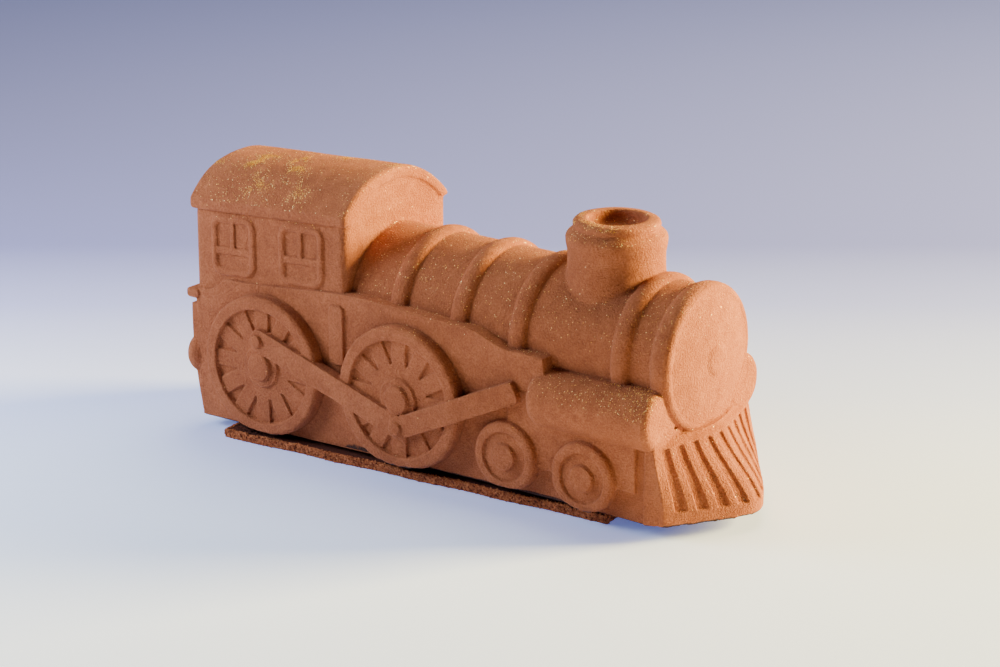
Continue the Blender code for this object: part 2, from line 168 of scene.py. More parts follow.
def newTree(name, settings, keys, takesMesh=False):
    # A Geometry Nodes tree with an input for each named setting, and one for the material
    tree = bpy.data.node_groups.new(name, "GeometryNodeTree")
    tree.is_modifier = True
    if takesMesh:
        tree.interface.new_socket("Mesh", in_out="INPUT", socket_type="NodeSocketGeometry")
    for key in keys:
        kind = "NodeSocketInt" if isinstance(settings[key], int) else "NodeSocketFloat"
        tree.interface.new_socket(key, in_out="INPUT", socket_type=kind).default_value = settings[key]
    tree.interface.new_socket("Material", in_out="INPUT", socket_type="NodeSocketMaterial")
    tree.interface.new_socket("Geometry", in_out="OUTPUT", socket_type="NodeSocketGeometry")
    start = tree.nodes.new("NodeGroupInput")
    return tree, {socket.name: socket for socket in start.outputs if socket.name}


def closeTree(tree, given, geometry):
    # Every tree ends in Realize Instances and Set Material
    real = put(tree, "GeometryNodeRealizeInstances", None, {0: geometry}).outputs[0]
    last = put(tree, "GeometryNodeSetMaterial", None, {"Geometry": real, "Material": given["Material"]})
    tree.links.new(last.outputs[0], tree.nodes.new("NodeGroupOutput").inputs[0])
    return tree


def runTree(tree, settings, material, name, base=None):
    # Runs the tree on a plain object and gives its result as a plain mesh
    values = {**settings, "Material": material}
    carrier = linkMesh(base or bpy.data.meshes.new(name), name + "_carrier")
    modifier = carrier.modifiers.new(tree.name, "NODES")
    modifier.node_group = tree
    for item in tree.interface.items_tree:
        if item.item_type == "SOCKET" and item.in_out == "INPUT" and item.name in values:
            modifier[item.identifier] = values[item.name]
    mesh = finishedMesh(carrier)
    mesh.name = name
    carrier.modifiers.clear()
    bpy.data.objects.remove(carrier, do_unlink=True)
    return mesh


def sealed(tree, sheet, raised):
    # A thickened sheet, closed with its own back to a solid
    back = put(tree, "GeometryNodeFlipFaces", None, {"Mesh": sheet})
    closed = put(tree, "GeometryNodeJoinGeometry")
    tree.links.new(raised, closed.inputs[0])
    tree.links.new(back.outputs[0], closed.inputs[0])
    return put(tree, "GeometryNodeMergeByDistance", None,
               {"Geometry": closed.outputs[0], "Distance": 0.001}).outputs[0]


def addShape(moulding, shape):
    # Adds a closed bmesh to the meshes that will be melted together
    bmesh.ops.recalc_face_normals(shape, faces=shape.faces)
    moulding.append(meshFrom(shape, "part"))


def skin(shape, loops, ends=True):
    # Faces between rows of points that each go round, and over the two end rows
    for lower, upper in zip(loops, loops[1:]):
        for i in range(len(lower)):
            j = (i + 1) % len(lower)
            shape.faces.new((lower[i], lower[j], upper[j], upper[i]))
    if ends:
        shape.faces.new(loops[0])
        shape.faces.new(loops[-1])
        bmesh.ops.triangulate(shape, faces=shape.faces)


def prism(outline, place, reach):
    shape = bmesh.new()
    skin(shape, [[shape.verts.new(place(a, b, side)) for a, b in outline] for side in reach])
    return shape


def sidePlace(a, b, reach):
    return (a, reach, b)


def endPlace(a, b, reach):
    return (reach, a, b)


def roundedRectangle(middle, size, radius, steps=6):
    outline = []
    for quarter, (sx, sz) in enumerate(((1, 1), (-1, 1), (-1, -1), (1, -1))):
        cornerX = middle[0] + sx * (size[0] / 2 - radius)
        cornerZ = middle[1] + sz * (size[1] / 2 - radius)
        for step in range(steps + 1):
            angle = math.radians(90) * (quarter + step / steps)
            outline.append((cornerX + radius * math.cos(angle), cornerZ + radius * math.sin(angle)))
    return outline


def roundedEnds(rear, front, rounding, steps):
    # (x, inset) pairs that round off both ends of a length
    rows = []
    for end, sign in ((rear, 1), (front, -1)):
        for step in range(steps + 1):
            angle = math.radians(90) * step / steps
            rows.append((end + sign * rounding * (1 - math.sin(angle)), rounding * (1 - math.cos(angle))))
    return sorted(rows)


def turned(profile, segments, place):
    # A profile of (radius, along) points turned all the way round
    shape = bmesh.new()
    angles = [2 * math.pi * (i + 0.5) / segments for i in range(segments)]
    rings = []
    for radius, along in profile:
        turns = angles if radius else angles[:1]  # a point on the axis stands alone
        rings.append([shape.verts.new(place(radius * math.cos(t), radius * math.sin(t), along))
                      for t in turns])
    for lower, upper in zip(rings, rings[1:]):
        for i in range(segments):
            j = (i + 1) % segments
            corners = ((lower, i), (lower, j), (upper, j), (upper, i))
            different = list(dict.fromkeys(ring[k % len(ring)] for ring, k in corners))
            if len(different) > 2:
                shape.faces.new(different)
    return shape


def onSide(side, x, z):
    return lambda across, up, along: (x + across, side * along, z + up)


def onLength(y, z, widening=1.0):
    return lambda across, up, along: (along, y + across * widening, z + up)


def upright(x, y):
    return lambda across, up, along: (x + across, y + up, along)


def stepped(face, line):
    # A profile given by its depth over a face
    return [(radius, face + out) for radius, out in line]


def climb(shape):
    # The cab's sills, eaves and roof climb towards the front
    for vert in shape.verts:
        vert.co.z += cake["cabClimb"] * (vert.co.x - cake["cabRear"])


def flowing(points, steps):
    # A smooth line through (a, b) points
    line = []
    for i in range(len(points) - 1):
        before, start = points[max(i - 1, 0)], points[i]
        stop, after = points[i + 1], points[min(i + 2, len(points) - 1)]
        for step in range(steps):
            t = step / steps
            line.append(tuple(0.5 * (2 * start[k] + (stop[k] - before[k]) * t
                                     + (2 * before[k] - 5 * start[k] + 4 * stop[k] - after[k]) * t * t
                                     + (3 * start[k] - before[k] - 3 * stop[k] + after[k]) * t ** 3)
                              for k in (0, 1)))
    line.append(points[-1])
    return line


def newMaterial(name):
    material = bpy.data.materials.new(name)
    material.use_nodes = True
    tree = material.node_tree
    tree.nodes.clear()
    shader = tree.nodes.new("ShaderNodeBsdfPrincipled")
    output = tree.nodes.new("ShaderNodeOutputMaterial")
    tree.links.new(shader.outputs[0], output.inputs["Surface"])
    place = put(tree, "ShaderNodeTexCoord").outputs["Object"]
    return material, tree, shader, place


def finish(shader, values):
    for name, value in values.items():
        shader.inputs[name].default_value = value


def grain(tree, place, scale, detail, roughness):
    return put(tree, "ShaderNodeTexNoise", None, {"Vector": place, "Scale": scale, "Detail": detail,
                                                  "Roughness": roughness}).outputs["Fac"]


def noted(tree, name):
    return put(tree, "ShaderNodeAttribute", {"attribute_name": name}).outputs["Fac"]


def ramp(tree, amount, stops):
    node = put(tree, "ShaderNodeValToRGB", None, {"Fac": amount})
    bands = node.color_ramp.elements
    while len(bands) < len(stops):
        bands.new(0.5)
    for band, (place, colour) in zip(bands, stops):
        band.position = place
        band.color = (*colour, 1.0)
    return node.outputs["Color"]


def mixColour(tree, amount, first, second):
    feeds = {0: amount, 6: first, 7: (*second, 1.0) if isinstance(second, tuple) else second}
    return put(tree, "ShaderNodeMix", {"data_type": "RGBA"}, feeds).outputs[2]


def bumped(tree, height, strength, distance, under=None):
    feeds = {"Strength": strength, "Distance": distance, "Height": height}
    if under:
        feeds["Normal"] = under
    return put(tree, "ShaderNodeBump", None, feeds).outputs[0]


velvet = {
    "tones": ((0.30, (0.235, 0.059, 0.021)), (0.50, (0.385, 0.107, 0.039)), (0.70, (0.56, 0.178, 0.070))),
    # the crease colour is painted shade in creases and hollows, partly the thinner spray there
    "chocolate": (0.050, 0.016, 0.009), "creaseShade": (0.120, 0.028, 0.010), "paleEdge": (0.53, 0.175, 0.074),
    "grainSize": 1350.0, "fineSize": 3000.0, "blotchSize": 34.0, "patchSize": 190.0,
    "creaseShadeStart": 0.18, "creaseShadeRate": 1.05, "paleEdgeStart": -0.15, "paleEdgeRate": 0.45,
    "bareStart": 0.5, "bareRate": 6.0, "bareEdge": 0.9, "roughness": 0.93, "bareGloss": 0.35,
    "finish": {"Sheen Weight": 0.05, "Sheen Roughness": 0.6, "Sheen Tint": (1.0, 0.66, 0.42, 1.0),
               "Specular IOR Level": 0.12},
}


def cocoaVelvet():
    # Sprayed cocoa butter: dry and matt, with a fine grain, faint blotches and a few bare spots; darker in
    # creases, mostly painted shade and partly the thinner spray there, and paler on sharp edges
    material, tree, shader, place = newMaterial("cocoaVelvet")
    blotch = grain(tree, place, velvet["blotchSize"], 3.0, 0.6)
    patch = grain(tree, place, velvet["patchSize"], 3.0, 0.6)
    fine = grain(tree, place, velvet["grainSize"], 2.0, 0.55)
    finest = grain(tree, place, velvet["fineSize"], 1.0, 0.5)
    colour = ramp(tree, weighed(tree, (blotch, 0.28), (patch, 0.26), (fine, 0.46)), velvet["tones"])
    hollow = noted(tree, "hollow")
    # darker in creases and hollows: mostly painted shade, partly the thinner velvet spray that reaches there
    creaseShaded = past(tree, hollow, velvet["creaseShadeStart"], velvet["creaseShadeRate"])
    colour = mixColour(tree, creaseShaded, colour, velvet["creaseShade"])
    # a paler tone on sharp outward edges
    paleEdge = past(tree, velvet["paleEdgeStart"], hollow, velvet["paleEdgeRate"])  # edges are hollows below 0
    colour = mixColour(tree, paleEdge, colour, velvet["paleEdge"])
    ragged = calc(tree, "MULTIPLY", calc(tree, "SUBTRACT", patch, 0.5), velvet["bareEdge"])
    bare = calc(tree, "ADD", noted(tree, "bare"), ragged)
    shown = past(tree, bare, velvet["bareStart"], velvet["bareRate"])
    colour = mixColour(tree, shown, colour, velvet["chocolate"])
    tree.links.new(colour, shader.inputs["Base Color"])
    dull = calc(tree, "SUBTRACT", velvet["roughness"], calc(tree, "MULTIPLY", shown, velvet["bareGloss"]))
    tree.links.new(dull, shader.inputs["Roughness"])
    low = bumped(tree, patch, 0.30, 0.0010)
    relief = weighed(tree, (fine, 0.7), (finest, 0.3))
    tree.links.new(bumped(tree, relief, 0.95, 0.0014, low), shader.inputs["Normal"])
    finish(shader, velvet["finish"])
    return material


crumbLook = {
    "tones": ((0.34, (0.075, 0.016, 0.006)), (0.50, (0.45, 0.120, 0.037)), (0.68, (0.68, 0.245, 0.088))),
    # the dark colour is painted shade, for the pores and for the faces that are not torn
    "shadeTone": (0.075, 0.016, 0.006), "coarse": 900.0, "fine": 2600.0, "pores": 1100.0,
    "finish": {"Roughness": 0.95, "Specular IOR Level": 0.2},
}


def crumbSponge(name, shadeName="", tornName=""):
    # Open chocolate crumb: pores with painted shade in them, and painted shade over the faces that are not
    # torn, so the torn edges stand paler
    material, tree, shader, place = newMaterial(name)
    coarse = grain(tree, place, crumbLook["coarse"], 4.0, 0.65)
    fine = grain(tree, place, crumbLook["fine"], 2.0, 0.6)
    pores = put(tree, "ShaderNodeTexVoronoi", {"feature": "F1"},
                {"Vector": place, "Scale": crumbLook["pores"]}).outputs["Distance"]
    tone = weighed(tree, (coarse, 0.6), (fine, 0.4))
    if shadeName:
        shade = calc(tree, "SUBTRACT", noted(tree, shadeName), 0.5)
        tone = calc(tree, "ADD", tone, calc(tree, "MULTIPLY", shade, 0.25))
    colour = ramp(tree, tone, crumbLook["tones"])
    # painted shade in the pores
    hollow = calc(tree, "SUBTRACT", 1.0, calc(tree, "MULTIPLY", pores, 1.5), clamp=True)
    colour = mixColour(tree, calc(tree, "MULTIPLY", hollow, 0.35), colour, crumbLook["shadeTone"])
    if tornName:
        # painted shade over the faces that are not torn, mostly the top that lies in shadow under the cake
        untornShade = calc(tree, "SUBTRACT", 1.0, noted(tree, tornName), clamp=True)
        colour = mixColour(tree, untornShade, colour, crumbLook["shadeTone"])
    tree.links.new(colour, shader.inputs["Base Color"])
    height = calc(tree, "ADD", tone, calc(tree, "MULTIPLY", pores, 0.5))
    tree.links.new(bumped(tree, height, 0.8, 0.0006), shader.inputs["Normal"])
    finish(shader, crumbLook["finish"])
    return material


gold = {
    "deep": ((0.05, (0.72, 0.22, 0.006)), (0.35, (1.0, 0.38, 0.010)), (0.65, (1.0, 0.48, 0.024)),
             (0.95, (1.0, 0.64, 0.11))),
    "paleGlint": ((0.05, (0.90, 0.35, 0.045)), (0.45, (1.0, 0.49, 0.11)), (0.95, (1.0, 0.70, 0.30))),
    "wrinkleSize": 3800.0, "finish": {"Metallic": 0.55, "Roughness": 0.34},
}


def goldLeaf():
    # Edible gold flakes: a deeper yellow where they drifted together, and pale where they lie alone, the
    # paleness partly a painted glint
    material, tree, shader, place = newMaterial("goldFlake")
    wrinkle = grain(tree, place, gold["wrinkleSize"], 2.0, 0.5)
    tone = weighed(tree, (noted(tree, "shade"), 0.8), (wrinkle, 0.2))
    # the pale ramp is partly a painted glint on the lone flakes
    deep, paleGlint = ramp(tree, tone, gold["deep"]), ramp(tree, tone, gold["paleGlint"])
    crowd = calc(tree, "MULTIPLY", noted(tree, "gold"), 3.0, clamp=True)
    tree.links.new(mixColour(tree, crowd, paleGlint, deep), shader.inputs["Base Color"])
    tree.links.new(bumped(tree, wrinkle, 0.3, 0.0001), shader.inputs["Normal"])
    finish(shader, gold["finish"])
    return material


velvetFinish = cocoaVelvet()
spongeFinish = crumbSponge("chocolateSponge", tornName="torn")
looseCrumbFinish = crumbSponge("looseCrumb", shadeName="shade")
goldFinish = goldLeaf()
print("finishes are ready")


spokes = {"count": 12, "inner": 13.84, "outer": 25.9, "rootWidth": 7.1, "tipWidth": 7.9, "thickness": 2.5}


def spokeTree():
    # Straight bars set round a hub; the pointed gaps between them are the wheel's pockets
    tree, given = newTree("wheelSpokes", spokes, spokes)
    length = calc(tree, "SUBTRACT", given["outer"], given["inner"])
    middle = calc(tree, "MULTIPLY", calc(tree, "ADD", given["outer"], given["inner"]), 0.5)
    bar = put(tree, "GeometryNodeCurvePrimitiveQuadrilateral", {"mode": "TRAPEZOID"}, {
        "Height": length, "Bottom Width": given["rootWidth"], "Top Width": given["tipWidth"], "Offset": 0.0})
    sheet = put(tree, "GeometryNodeFillCurve", {"mode": "NGONS"}, {"Curve": bar.outputs[0]}).outputs[0]
    raised = put(tree, "GeometryNodeExtrudeMesh", None,
                 {"Mesh": sheet, "Offset Scale": given["thickness"], "Individual": False}).outputs["Mesh"]
    circle = put(tree, "GeometryNodeMeshCircle", {"fill_type": "NONE"},
                 {"Vertices": given["count"], "Radius": middle})
    number = put(tree, "GeometryNodeInputIndex").outputs[0]
    turn = calc(tree, "DIVIDE", calc(tree, "MULTIPLY", number, 2 * math.pi), given["count"])
    turn = calc(tree, "SUBTRACT", turn, math.pi / 2)
    placed = put(tree, "GeometryNodeInstanceOnPoints", None, {
        "Points": circle.outputs[0], "Instance": sealed(tree, sheet, raised),
        "Rotation": vector(tree, z=turn)})
    return closeTree(tree, given, placed.outputs[0])


driveWheel = {
    "places": (0.0, 75.0), "edge": 31.5, "edgeRound": 1.9, "disc": 14.8, "hub": 9.5,
    "sunk": 1.5, "pocket": 1.1,  # the spokes lie sunk inside the tyre, and the pockets go deeper still
    "bead": ((26.2, 0.0), (25.85, -0.15), (25.7, -0.6)), "rim": 25.6,
    "boss": ((9.4, -0.9), (8.9, -0.3), (6.4, -0.2), (6.2, 0.9), (5.8, 1.4), (5.2, 1.6), (0.0, 1.7)),
}


def addDriveWheels(moulding):
    edge, edgeRound, face = driveWheel["edge"], driveWheel["edgeRound"], cake["wheelFace"]
    web = face - driveWheel["sunk"]
    plate = web - driveWheel["pocket"]
    tyre = [(0.0, cake["core"]), (edge, cake["core"])]
    tyre += [(edge - edgeRound * (1 - math.cos(t)), face - edgeRound * (1 - math.sin(t)))
             for t in [math.radians(15 * k) for k in range(7)]]
    tyre += stepped(face, driveWheel["bead"]) + [(driveWheel["rim"], plate), (0.0, plate)]
    disc = [(0.0, plate - 1.0), (driveWheel["disc"], plate - 1.0), (driveWheel["disc"], web), (0.0, web)]
    hub = [(0.0, plate - 1.0), (driveWheel["hub"], plate - 1.0)] + stepped(face, driveWheel["boss"])
    bars = runTree(spokeTree(), spokes, velvetFinish, "spokeBars")
    for side in sides:
        for x in driveWheel["places"]:
            for profile, segments in ((tyre, 120), (disc, 72), (hub, 64)):
                addShape(moulding, turned(profile, segments, onSide(side, x, 0.0)))
            shape = shapeFrom(bars)
            for vert in shape.verts:
                across, up, depth = vert.co
                vert.co = (x + across, side * (web - spokes["thickness"] + depth), up)
            addShape(moulding, shape)


smallWheel = {
    "places": ((128.6, -15.0), (167.4, -16.2)), "radius": 15.2,
    "profile": ((15.2, -1.5), (14.7, -0.5), (13.7, 0.0), (11.1, 0.0), (10.8, -0.2), (10.65, -1.2),
                (10.3, -1.3), (5.9, -1.0), (5.75, 0.3), (5.45, 0.7), (4.9, 0.85), (0.0, 0.9)),
}


def addSmallWheels(moulding):
    profile = [(0.0, cake["core"]), (smallWheel["radius"], cake["core"])]
    profile += stepped(cake["smallWheelFace"], smallWheel["profile"])
    for side in sides:
        for x, z in smallWheel["places"]:
            addShape(moulding, turned(profile, 84, onSide(side, x, z)))


rods = {"coupling": ((0.5, 12.2), (75.0, -11.8), 5.1, 4.6), "couplingBack": 39.5,
        "driving": ((77.5, -11.6), (129.6, 12.3), 4.8, 2.4), "drivingBack": 35.5,
        "pins": ((-0.4, 12.0, 2.8), (75.2, -12.4, 3.3)), "pinBack": 41.0,
        "leanStart": 102.0, "lean": 0.13}  # the driving rod bends in towards the cylinder


def rodOutline(start, end, half, rounding):
    run = Vector((end[0] - start[0], end[1] - start[1]))
    angle = math.atan2(run.y, run.x)
    flat = roundedRectangle((run.length / 2, 0.0), (run.length + 2 * half, 2 * half), rounding, 8)
    return [(start[0] + a * math.cos(angle) - b * math.sin(angle),
             start[1] + a * math.sin(angle) + b * math.cos(angle)) for a, b in flat]


def addRods(moulding):
    face = cake["rodFace"]
    coupling, driving = rodOutline(*rods["coupling"]), rodOutline(*rods["driving"])
    for side in sides:
        addShape(moulding, prism(coupling, sidePlace, (side * rods["couplingBack"], side * face)))
        shape = prism(driving, sidePlace, (side * rods["drivingBack"], side * (face + 0.3)))
        bmesh.ops.bisect_plane(shape, geom=shape.verts[:] + shape.edges[:] + shape.faces[:],
                               plane_co=(rods["leanStart"], 0.0, 0.0), plane_no=(1.0, 0.0, 0.0))
        for vert in shape.verts:
            vert.co.y -= side * rods["lean"] * max(vert.co.x - rods["leanStart"], 0.0)
        addShape(moulding, shape)
        for x, z, radius in rods["pins"]:
            pin = [(0.0, rods["pinBack"]), (radius, rods["pinBack"])]
            pin += stepped(face, ((radius, 1.0), (radius - 0.6, 1.5), (0.0, 1.6)))
            addShape(moulding, turned(pin, 40, onSide(side, x, z)))


bandNames = ("first", "second", "third", "fourth")
bands = {"first": 68.0, "second": 99.3, "third": 129.0, "fourth": 178.8, "proud": 2.5, "halfWidth": 4.3,
         "rear": cake["cabFront"], "front": cake["boilerFace"], "rearRadius": 31.4, "frontRadius": 28.9}

boiler = {
    "widening": 1.04, "rings": (30.0, 80.0, 130.0, 160.0, 190.0), "shoulder": 193.0, "shoulderBack": -9.5,
    "face": ((29.6, -9.1), (30.6, -7.8), (31.2, -6.0), (31.3, -4.2), (31.0, -2.2), (30.2, -0.9), (29.2, -0.2),
             (28.2, 0.0), (27.0, -0.1), (23.0, 1.0), (18.0, 2.2), (12.0, 3.1), (7.0, 3.6), (6.3, 4.0),
             (5.4, 4.4), (4.6, 4.55), (0.0, 4.8)),
}


def boilerRadius(x):
    share = (x - bands["rear"]) / (bands["front"] - bands["rear"])
    return bands["rearRadius"] + (bands["frontRadius"] - bands["rearRadius"]) * share


def bandTree():
    # Half-round hoops set along the boiler, each as wide as the boiler is at its place
    tree, given = newTree("boilerBands", bands, (*bandNames, "rear", "front", "rearRadius", "frontRadius",
                                                 "proud", "halfWidth"))
    hoop = put(tree, "GeometryNodeCurvePrimitiveCircle", None, {"Resolution": 160, "Radius": 1.0})
    section = put(tree, "GeometryNodeCurvePrimitiveCircle", None, {"Resolution": 32, "Radius": 1.0})
    chosen = put(tree, "GeometryNodeIndexSwitch", {"data_type": "FLOAT"})
    while len(chosen.index_switch_items) < len(bandNames):
        chosen.index_switch_items.new()
    tree.links.new(put(tree, "GeometryNodeInputIndex").outputs[0], chosen.inputs[0])
    for k, name in enumerate(bandNames):
        tree.links.new(given[name], chosen.inputs[1 + k])
    along = chosen.outputs[0]
    points = put(tree, "GeometryNodePoints", None, {
        "Count": len(bandNames), "Position": vector(tree, x=along)})
    share = put(tree, "ShaderNodeMapRange", {"clamp": False}, {
        "Value": along, "From Min": given["rear"], "From Max": given["front"],
        "To Min": given["rearRadius"], "To Max": given["frontRadius"]}).outputs[0]
    lateral = calc(tree, "DIVIDE", given["proud"], 30.0)  # the hoop has radius 1 and is scaled up to about 30
    flat = put(tree, "GeometryNodeTransform", None, {
        "Geometry": section.outputs[0], "Scale": vector(tree, lateral, given["halfWidth"], 1.0)})
    ring = put(tree, "GeometryNodeCurveToMesh", None, {
        "Curve": hoop.outputs[0], "Profile Curve": flat.outputs[0], "Fill Caps": False})
    placed = put(tree, "GeometryNodeInstanceOnPoints", None, {
        "Points": points.outputs[0], "Instance": ring.outputs[0],
        "Rotation": (0.0, math.pi / 2, 0.0), "Scale": vector(tree, share, share, 1.0)})
    return closeTree(tree, given, placed.outputs[0])


def addBoiler(moulding):
    axis, face = cake["boilerAxis"], cake["boilerFace"]
    profile = [(0.0, boiler["rings"][0])] + [(boilerRadius(x), x) for x in boiler["rings"]]
    profile.append((boilerRadius(boiler["shoulder"]), face + boiler["shoulderBack"]))
    profile += stepped(face, boiler["face"])
    addShape(moulding, turned(profile, 160, onLength(0.0, axis, boiler["widening"])))
    shape = shapeFrom(runTree(bandTree(), bands, velvetFinish, "boilerHoops"))
    for vert in shape.verts:
        vert.co = (vert.co.x, vert.co.y * boiler["widening"], vert.co.z + axis)
    addShape(moulding, shape)


chimney = {"foot": 40.0,
           "profile": ((22.6, 50.0), (21.4, 55.0), (20.8, 59.5), (20.4, 64.0), (20.4, 69.5), (21.1, 73.8),
                       (20.9, 76.6), (18.9, 78.6), (18.0, 79.8), (18.3, 81.2), (17.7, 82.5), (16.6, 83.2),
                       (14.8, 83.5), (13.3, 83.5), (12.4, 83.1), (12.0, 82.0), (11.6, 80.1), (10.4, 78.5),
                       (8.2, 77.8), (4.5, 77.5), (0.0, 77.4))}


def addChimney(moulding):
    line = [(0.0, chimney["foot"])]
    line += [(max(radius, 0.0), height) for radius, height in flowing(chimney["profile"], 5)]
    addShape(moulding, turned(line, 120, upright(cake["chimneyX"], 0.0)))


steamCylinder = {"radius": 12.5, "rear": 137.6, "front": 200.4, "rearDome": 7.0, "rounding": 3.4,
                 "out": 31.6, "height": 12.0}


def addSteamCylinders(moulding):
    radius, rounding = steamCylinder["radius"], steamCylinder["rounding"]
    rear, front, dome = steamCylinder["rear"], steamCylinder["front"], steamCylinder["rearDome"]
    place = (steamCylinder["out"], steamCylinder["height"])
    angles = [math.radians(9 * k) for k in range(11)]
    profile = [(0.0, rear)]
    profile += [(radius * math.sin(t), rear + dome * (1 - math.cos(t))) for t in angles[1:]]
    profile += [(radius - rounding * (1 - math.cos(t)), front - rounding * (1 - math.sin(t))) for t in angles]
    profile.append((0.0, front))
    for side in sides:
        addShape(moulding, turned(profile, 96, onLength(side * place[0], place[1])))


plough = {"half": 37.0, "bottom": -31.2, "top": 3.6, "blunt": 8.0, "back": 195.5, "lean": 25.0,
          "cornerTop": 199.6, "cornerOut": 5.2, "noseTop": 208.0, "noseOut": 19.4,
          "pitch": 7.7, "reach": 4.0, "depth": 1.3,  # four grooves on each side of the middle one
          "grooveHalf": 1.85, "grooveTop": 0.6, "grooveBottom": -24.2}


def ploughTree():
    # A sheet bent to a blunt V that leans out towards its foot, with upright grooves, thickened to a solid
    tree, given = newTree("ploughFront", plough, plough)

    def doing(operation, first, second):
        return calc(tree, operation, first, second)

    def swing(across):
        reach = calc(tree, "SQRT", doing("ADD", doing("MULTIPLY", across, across),
                                         doing("MULTIPLY", given["blunt"], given["blunt"])))
        return doing("SUBTRACT", reach, given["blunt"])

    def before(amount, place, half):
        # 1 below the place and 0 above it, or the other way round where half is below 0
        return eased(tree, amount, doing("ADD", place, half), doing("SUBTRACT", place, half))

    width, height = doing("MULTIPLY", given["half"], 2.0), doing("SUBTRACT", given["top"], given["bottom"])
    sheet = put(tree, "GeometryNodeMeshGrid", None, {
        "Size X": width, "Size Y": height, "Vertices X": 297, "Vertices Y": 120})
    y, up, _ = position(tree)
    z = doing("ADD", up, doing("MULTIPLY", doing("ADD", given["top"], given["bottom"]), 0.5))
    fall = calc(tree, "DIVIDE", doing("SUBTRACT", 1.0, z), given["lean"], clamp=True)
    low = weighed(tree, (eased(tree, fall), 0.35), (fall, 0.65))
    corner = calc(tree, "MULTIPLY_ADD", low, given["cornerOut"], given["cornerTop"])
    nose = calc(tree, "MULTIPLY_ADD", low, given["noseOut"], given["noseTop"])
    share = doing("DIVIDE", swing(y), swing(doing("ADD", given["half"], 0.4)))
    front = doing("ADD", nose, doing("MULTIPLY", doing("SUBTRACT", corner, nose), share))
    nearest = doing("MINIMUM", calc(tree, "ROUND", doing("DIVIDE", y, given["pitch"])), given["reach"])
    nearest = doing("MAXIMUM", nearest, doing("MULTIPLY", given["reach"], -1.0))
    away = calc(tree, "ABSOLUTE", doing("SUBTRACT", y, doing("MULTIPLY", nearest, given["pitch"])))
    cut = before(away, given["grooveHalf"], 0.45)
    under = before(z, given["grooveTop"], 0.6)
    over = before(z, given["grooveBottom"], -0.5)
    groove = doing("MULTIPLY", doing("MULTIPLY", cut, under), doing("MULTIPLY", over, given["depth"]))
    crest = eased(tree, z, doing("SUBTRACT", given["top"], 3.0), given["top"], 3.0)
    foot = eased(tree, z, doing("ADD", given["bottom"], 1.6), given["bottom"], 1.6)
    x = doing("SUBTRACT", front, doing("ADD", groove, doing("ADD", crest, foot)))
    bent = put(tree, "GeometryNodeSetPosition", None,
               {"Geometry": sheet.outputs[0], "Position": vector(tree, x, y, z)}).outputs[0]
    pulled = put(tree, "GeometryNodeExtrudeMesh", None, {
        "Mesh": bent, "Individual": False, "Offset": (-1.0, 0.0, 0.0), "Offset Scale": 1.0})
    here = position(tree)
    squared = put(tree, "GeometryNodeSetPosition", None, {
        "Geometry": pulled.outputs["Mesh"], "Selection": pulled.outputs["Top"],
        "Position": vector(tree, given["back"], here[1], here[2])}).outputs[0]
    return closeTree(tree, given, sealed(tree, bent, squared))


def addPlough(moulding):
    addShape(moulding, shapeFrom(runTree(ploughTree(), plough, velvetFinish, "ploughFront")))


sheets = {
    "top": ((-45.0, 27.4), (-34.5, 28.0), (-21.5, 34.5), (50.0, 39.2), (106.0, 36.6), (129.0, 30.6),
            (150.0, 30.0)),
    "topSteps": 120, "panelRear": 128.6, "panelTop": 14.0, "panelProud": 0.6,
    "lip": ((-42.4, 25.3), (6.6, 4.4), 1.7), "lipSide": 38.3,
    "buffer": (9.5, 6.5), "bufferRear": -43.0, "bufferPlace": (30.0, -4.0),
    "plaque": ((38.8, 20.4), (7.8, 26.4), 2.2), "plaqueBack": 35.0, "plaqueProud": 1.3,
}


def addFrame(moulding):
    low, ledge, side = cake["underside"], cake["ledge"], cake["sheetSide"]
    front, rear, panelFront = cake["sheetFront"], cake["sheetRear"], cake["panelFront"]
    outline = [(-39.6, low), (cake["frameFront"], low), (cake["frameFront"], 6.0), (150.0, 20.0),
               (-44.8, 20.0), (-44.6, 4.0), (-42.8, -14.0)]
    addShape(moulding, prism(outline, sidePlace, (-cake["frameSide"], cake["frameSide"])))
    places = [rear + (front - rear) * i / sheets["topSteps"] for i in range(sheets["topSteps"] + 1)]
    outline = [(x, heightAlong(sheets["top"], x)) for x in places]
    outline += [(front + 1.0, 22.0), (panelFront, 15.0), (panelFront, ledge - 1.6), (99.0, ledge),
                (78.0, low + 0.4), (-38.6, low + 0.4), (-40.2, -14.0), (-40.8, 24.0), (-44.2, 24.4)]
    addShape(moulding, prism(outline, sidePlace, (-side, side)))
    panel = [(sheets["panelRear"], sheets["panelTop"]), (panelFront, sheets["panelTop"]),
             (panelFront, ledge - 1.4), (sheets["panelRear"], ledge - 0.4)]
    addShape(moulding, prism(panel, sidePlace, (-side - sheets["panelProud"], side + sheets["panelProud"])))
    lip = roundedRectangle(*sheets["lip"])
    addShape(moulding, prism(lip, sidePlace, (-sheets["lipSide"], sheets["lipSide"])))
    radius, reach = sheets["buffer"]
    angles = [math.radians(t) for t in range(0, 181, 6)]
    dome = [(radius * math.sin(t), sheets["bufferRear"] - reach * math.cos(t)) for t in angles]
    dome[0] = (0.0, dome[0][1])
    dome[-1] = (0.0, dome[-1][1])
    out, height = sheets["bufferPlace"]
    for sign in sides:
        addShape(moulding, turned(dome, 64, onLength(sign * out, height)))
        reaches = (sign * sheets["plaqueBack"], sign * (side + sheets["plaqueProud"]))
        addShape(moulding, prism(roundedRectangle(*sheets["plaque"]), sidePlace, reaches))


def archOutline(radius, apex, halfWidth, foot, steps=64):
    halfAngle = math.asin(halfWidth / radius)
    outline = [(halfWidth, foot)]
    for i in range(steps + 1):
        angle = halfAngle * (1 - 2 * i / steps)
        outline.append((radius * math.sin(angle), apex - radius * (1 - math.cos(angle))))
    outline.append((-halfWidth, foot))
    return outline


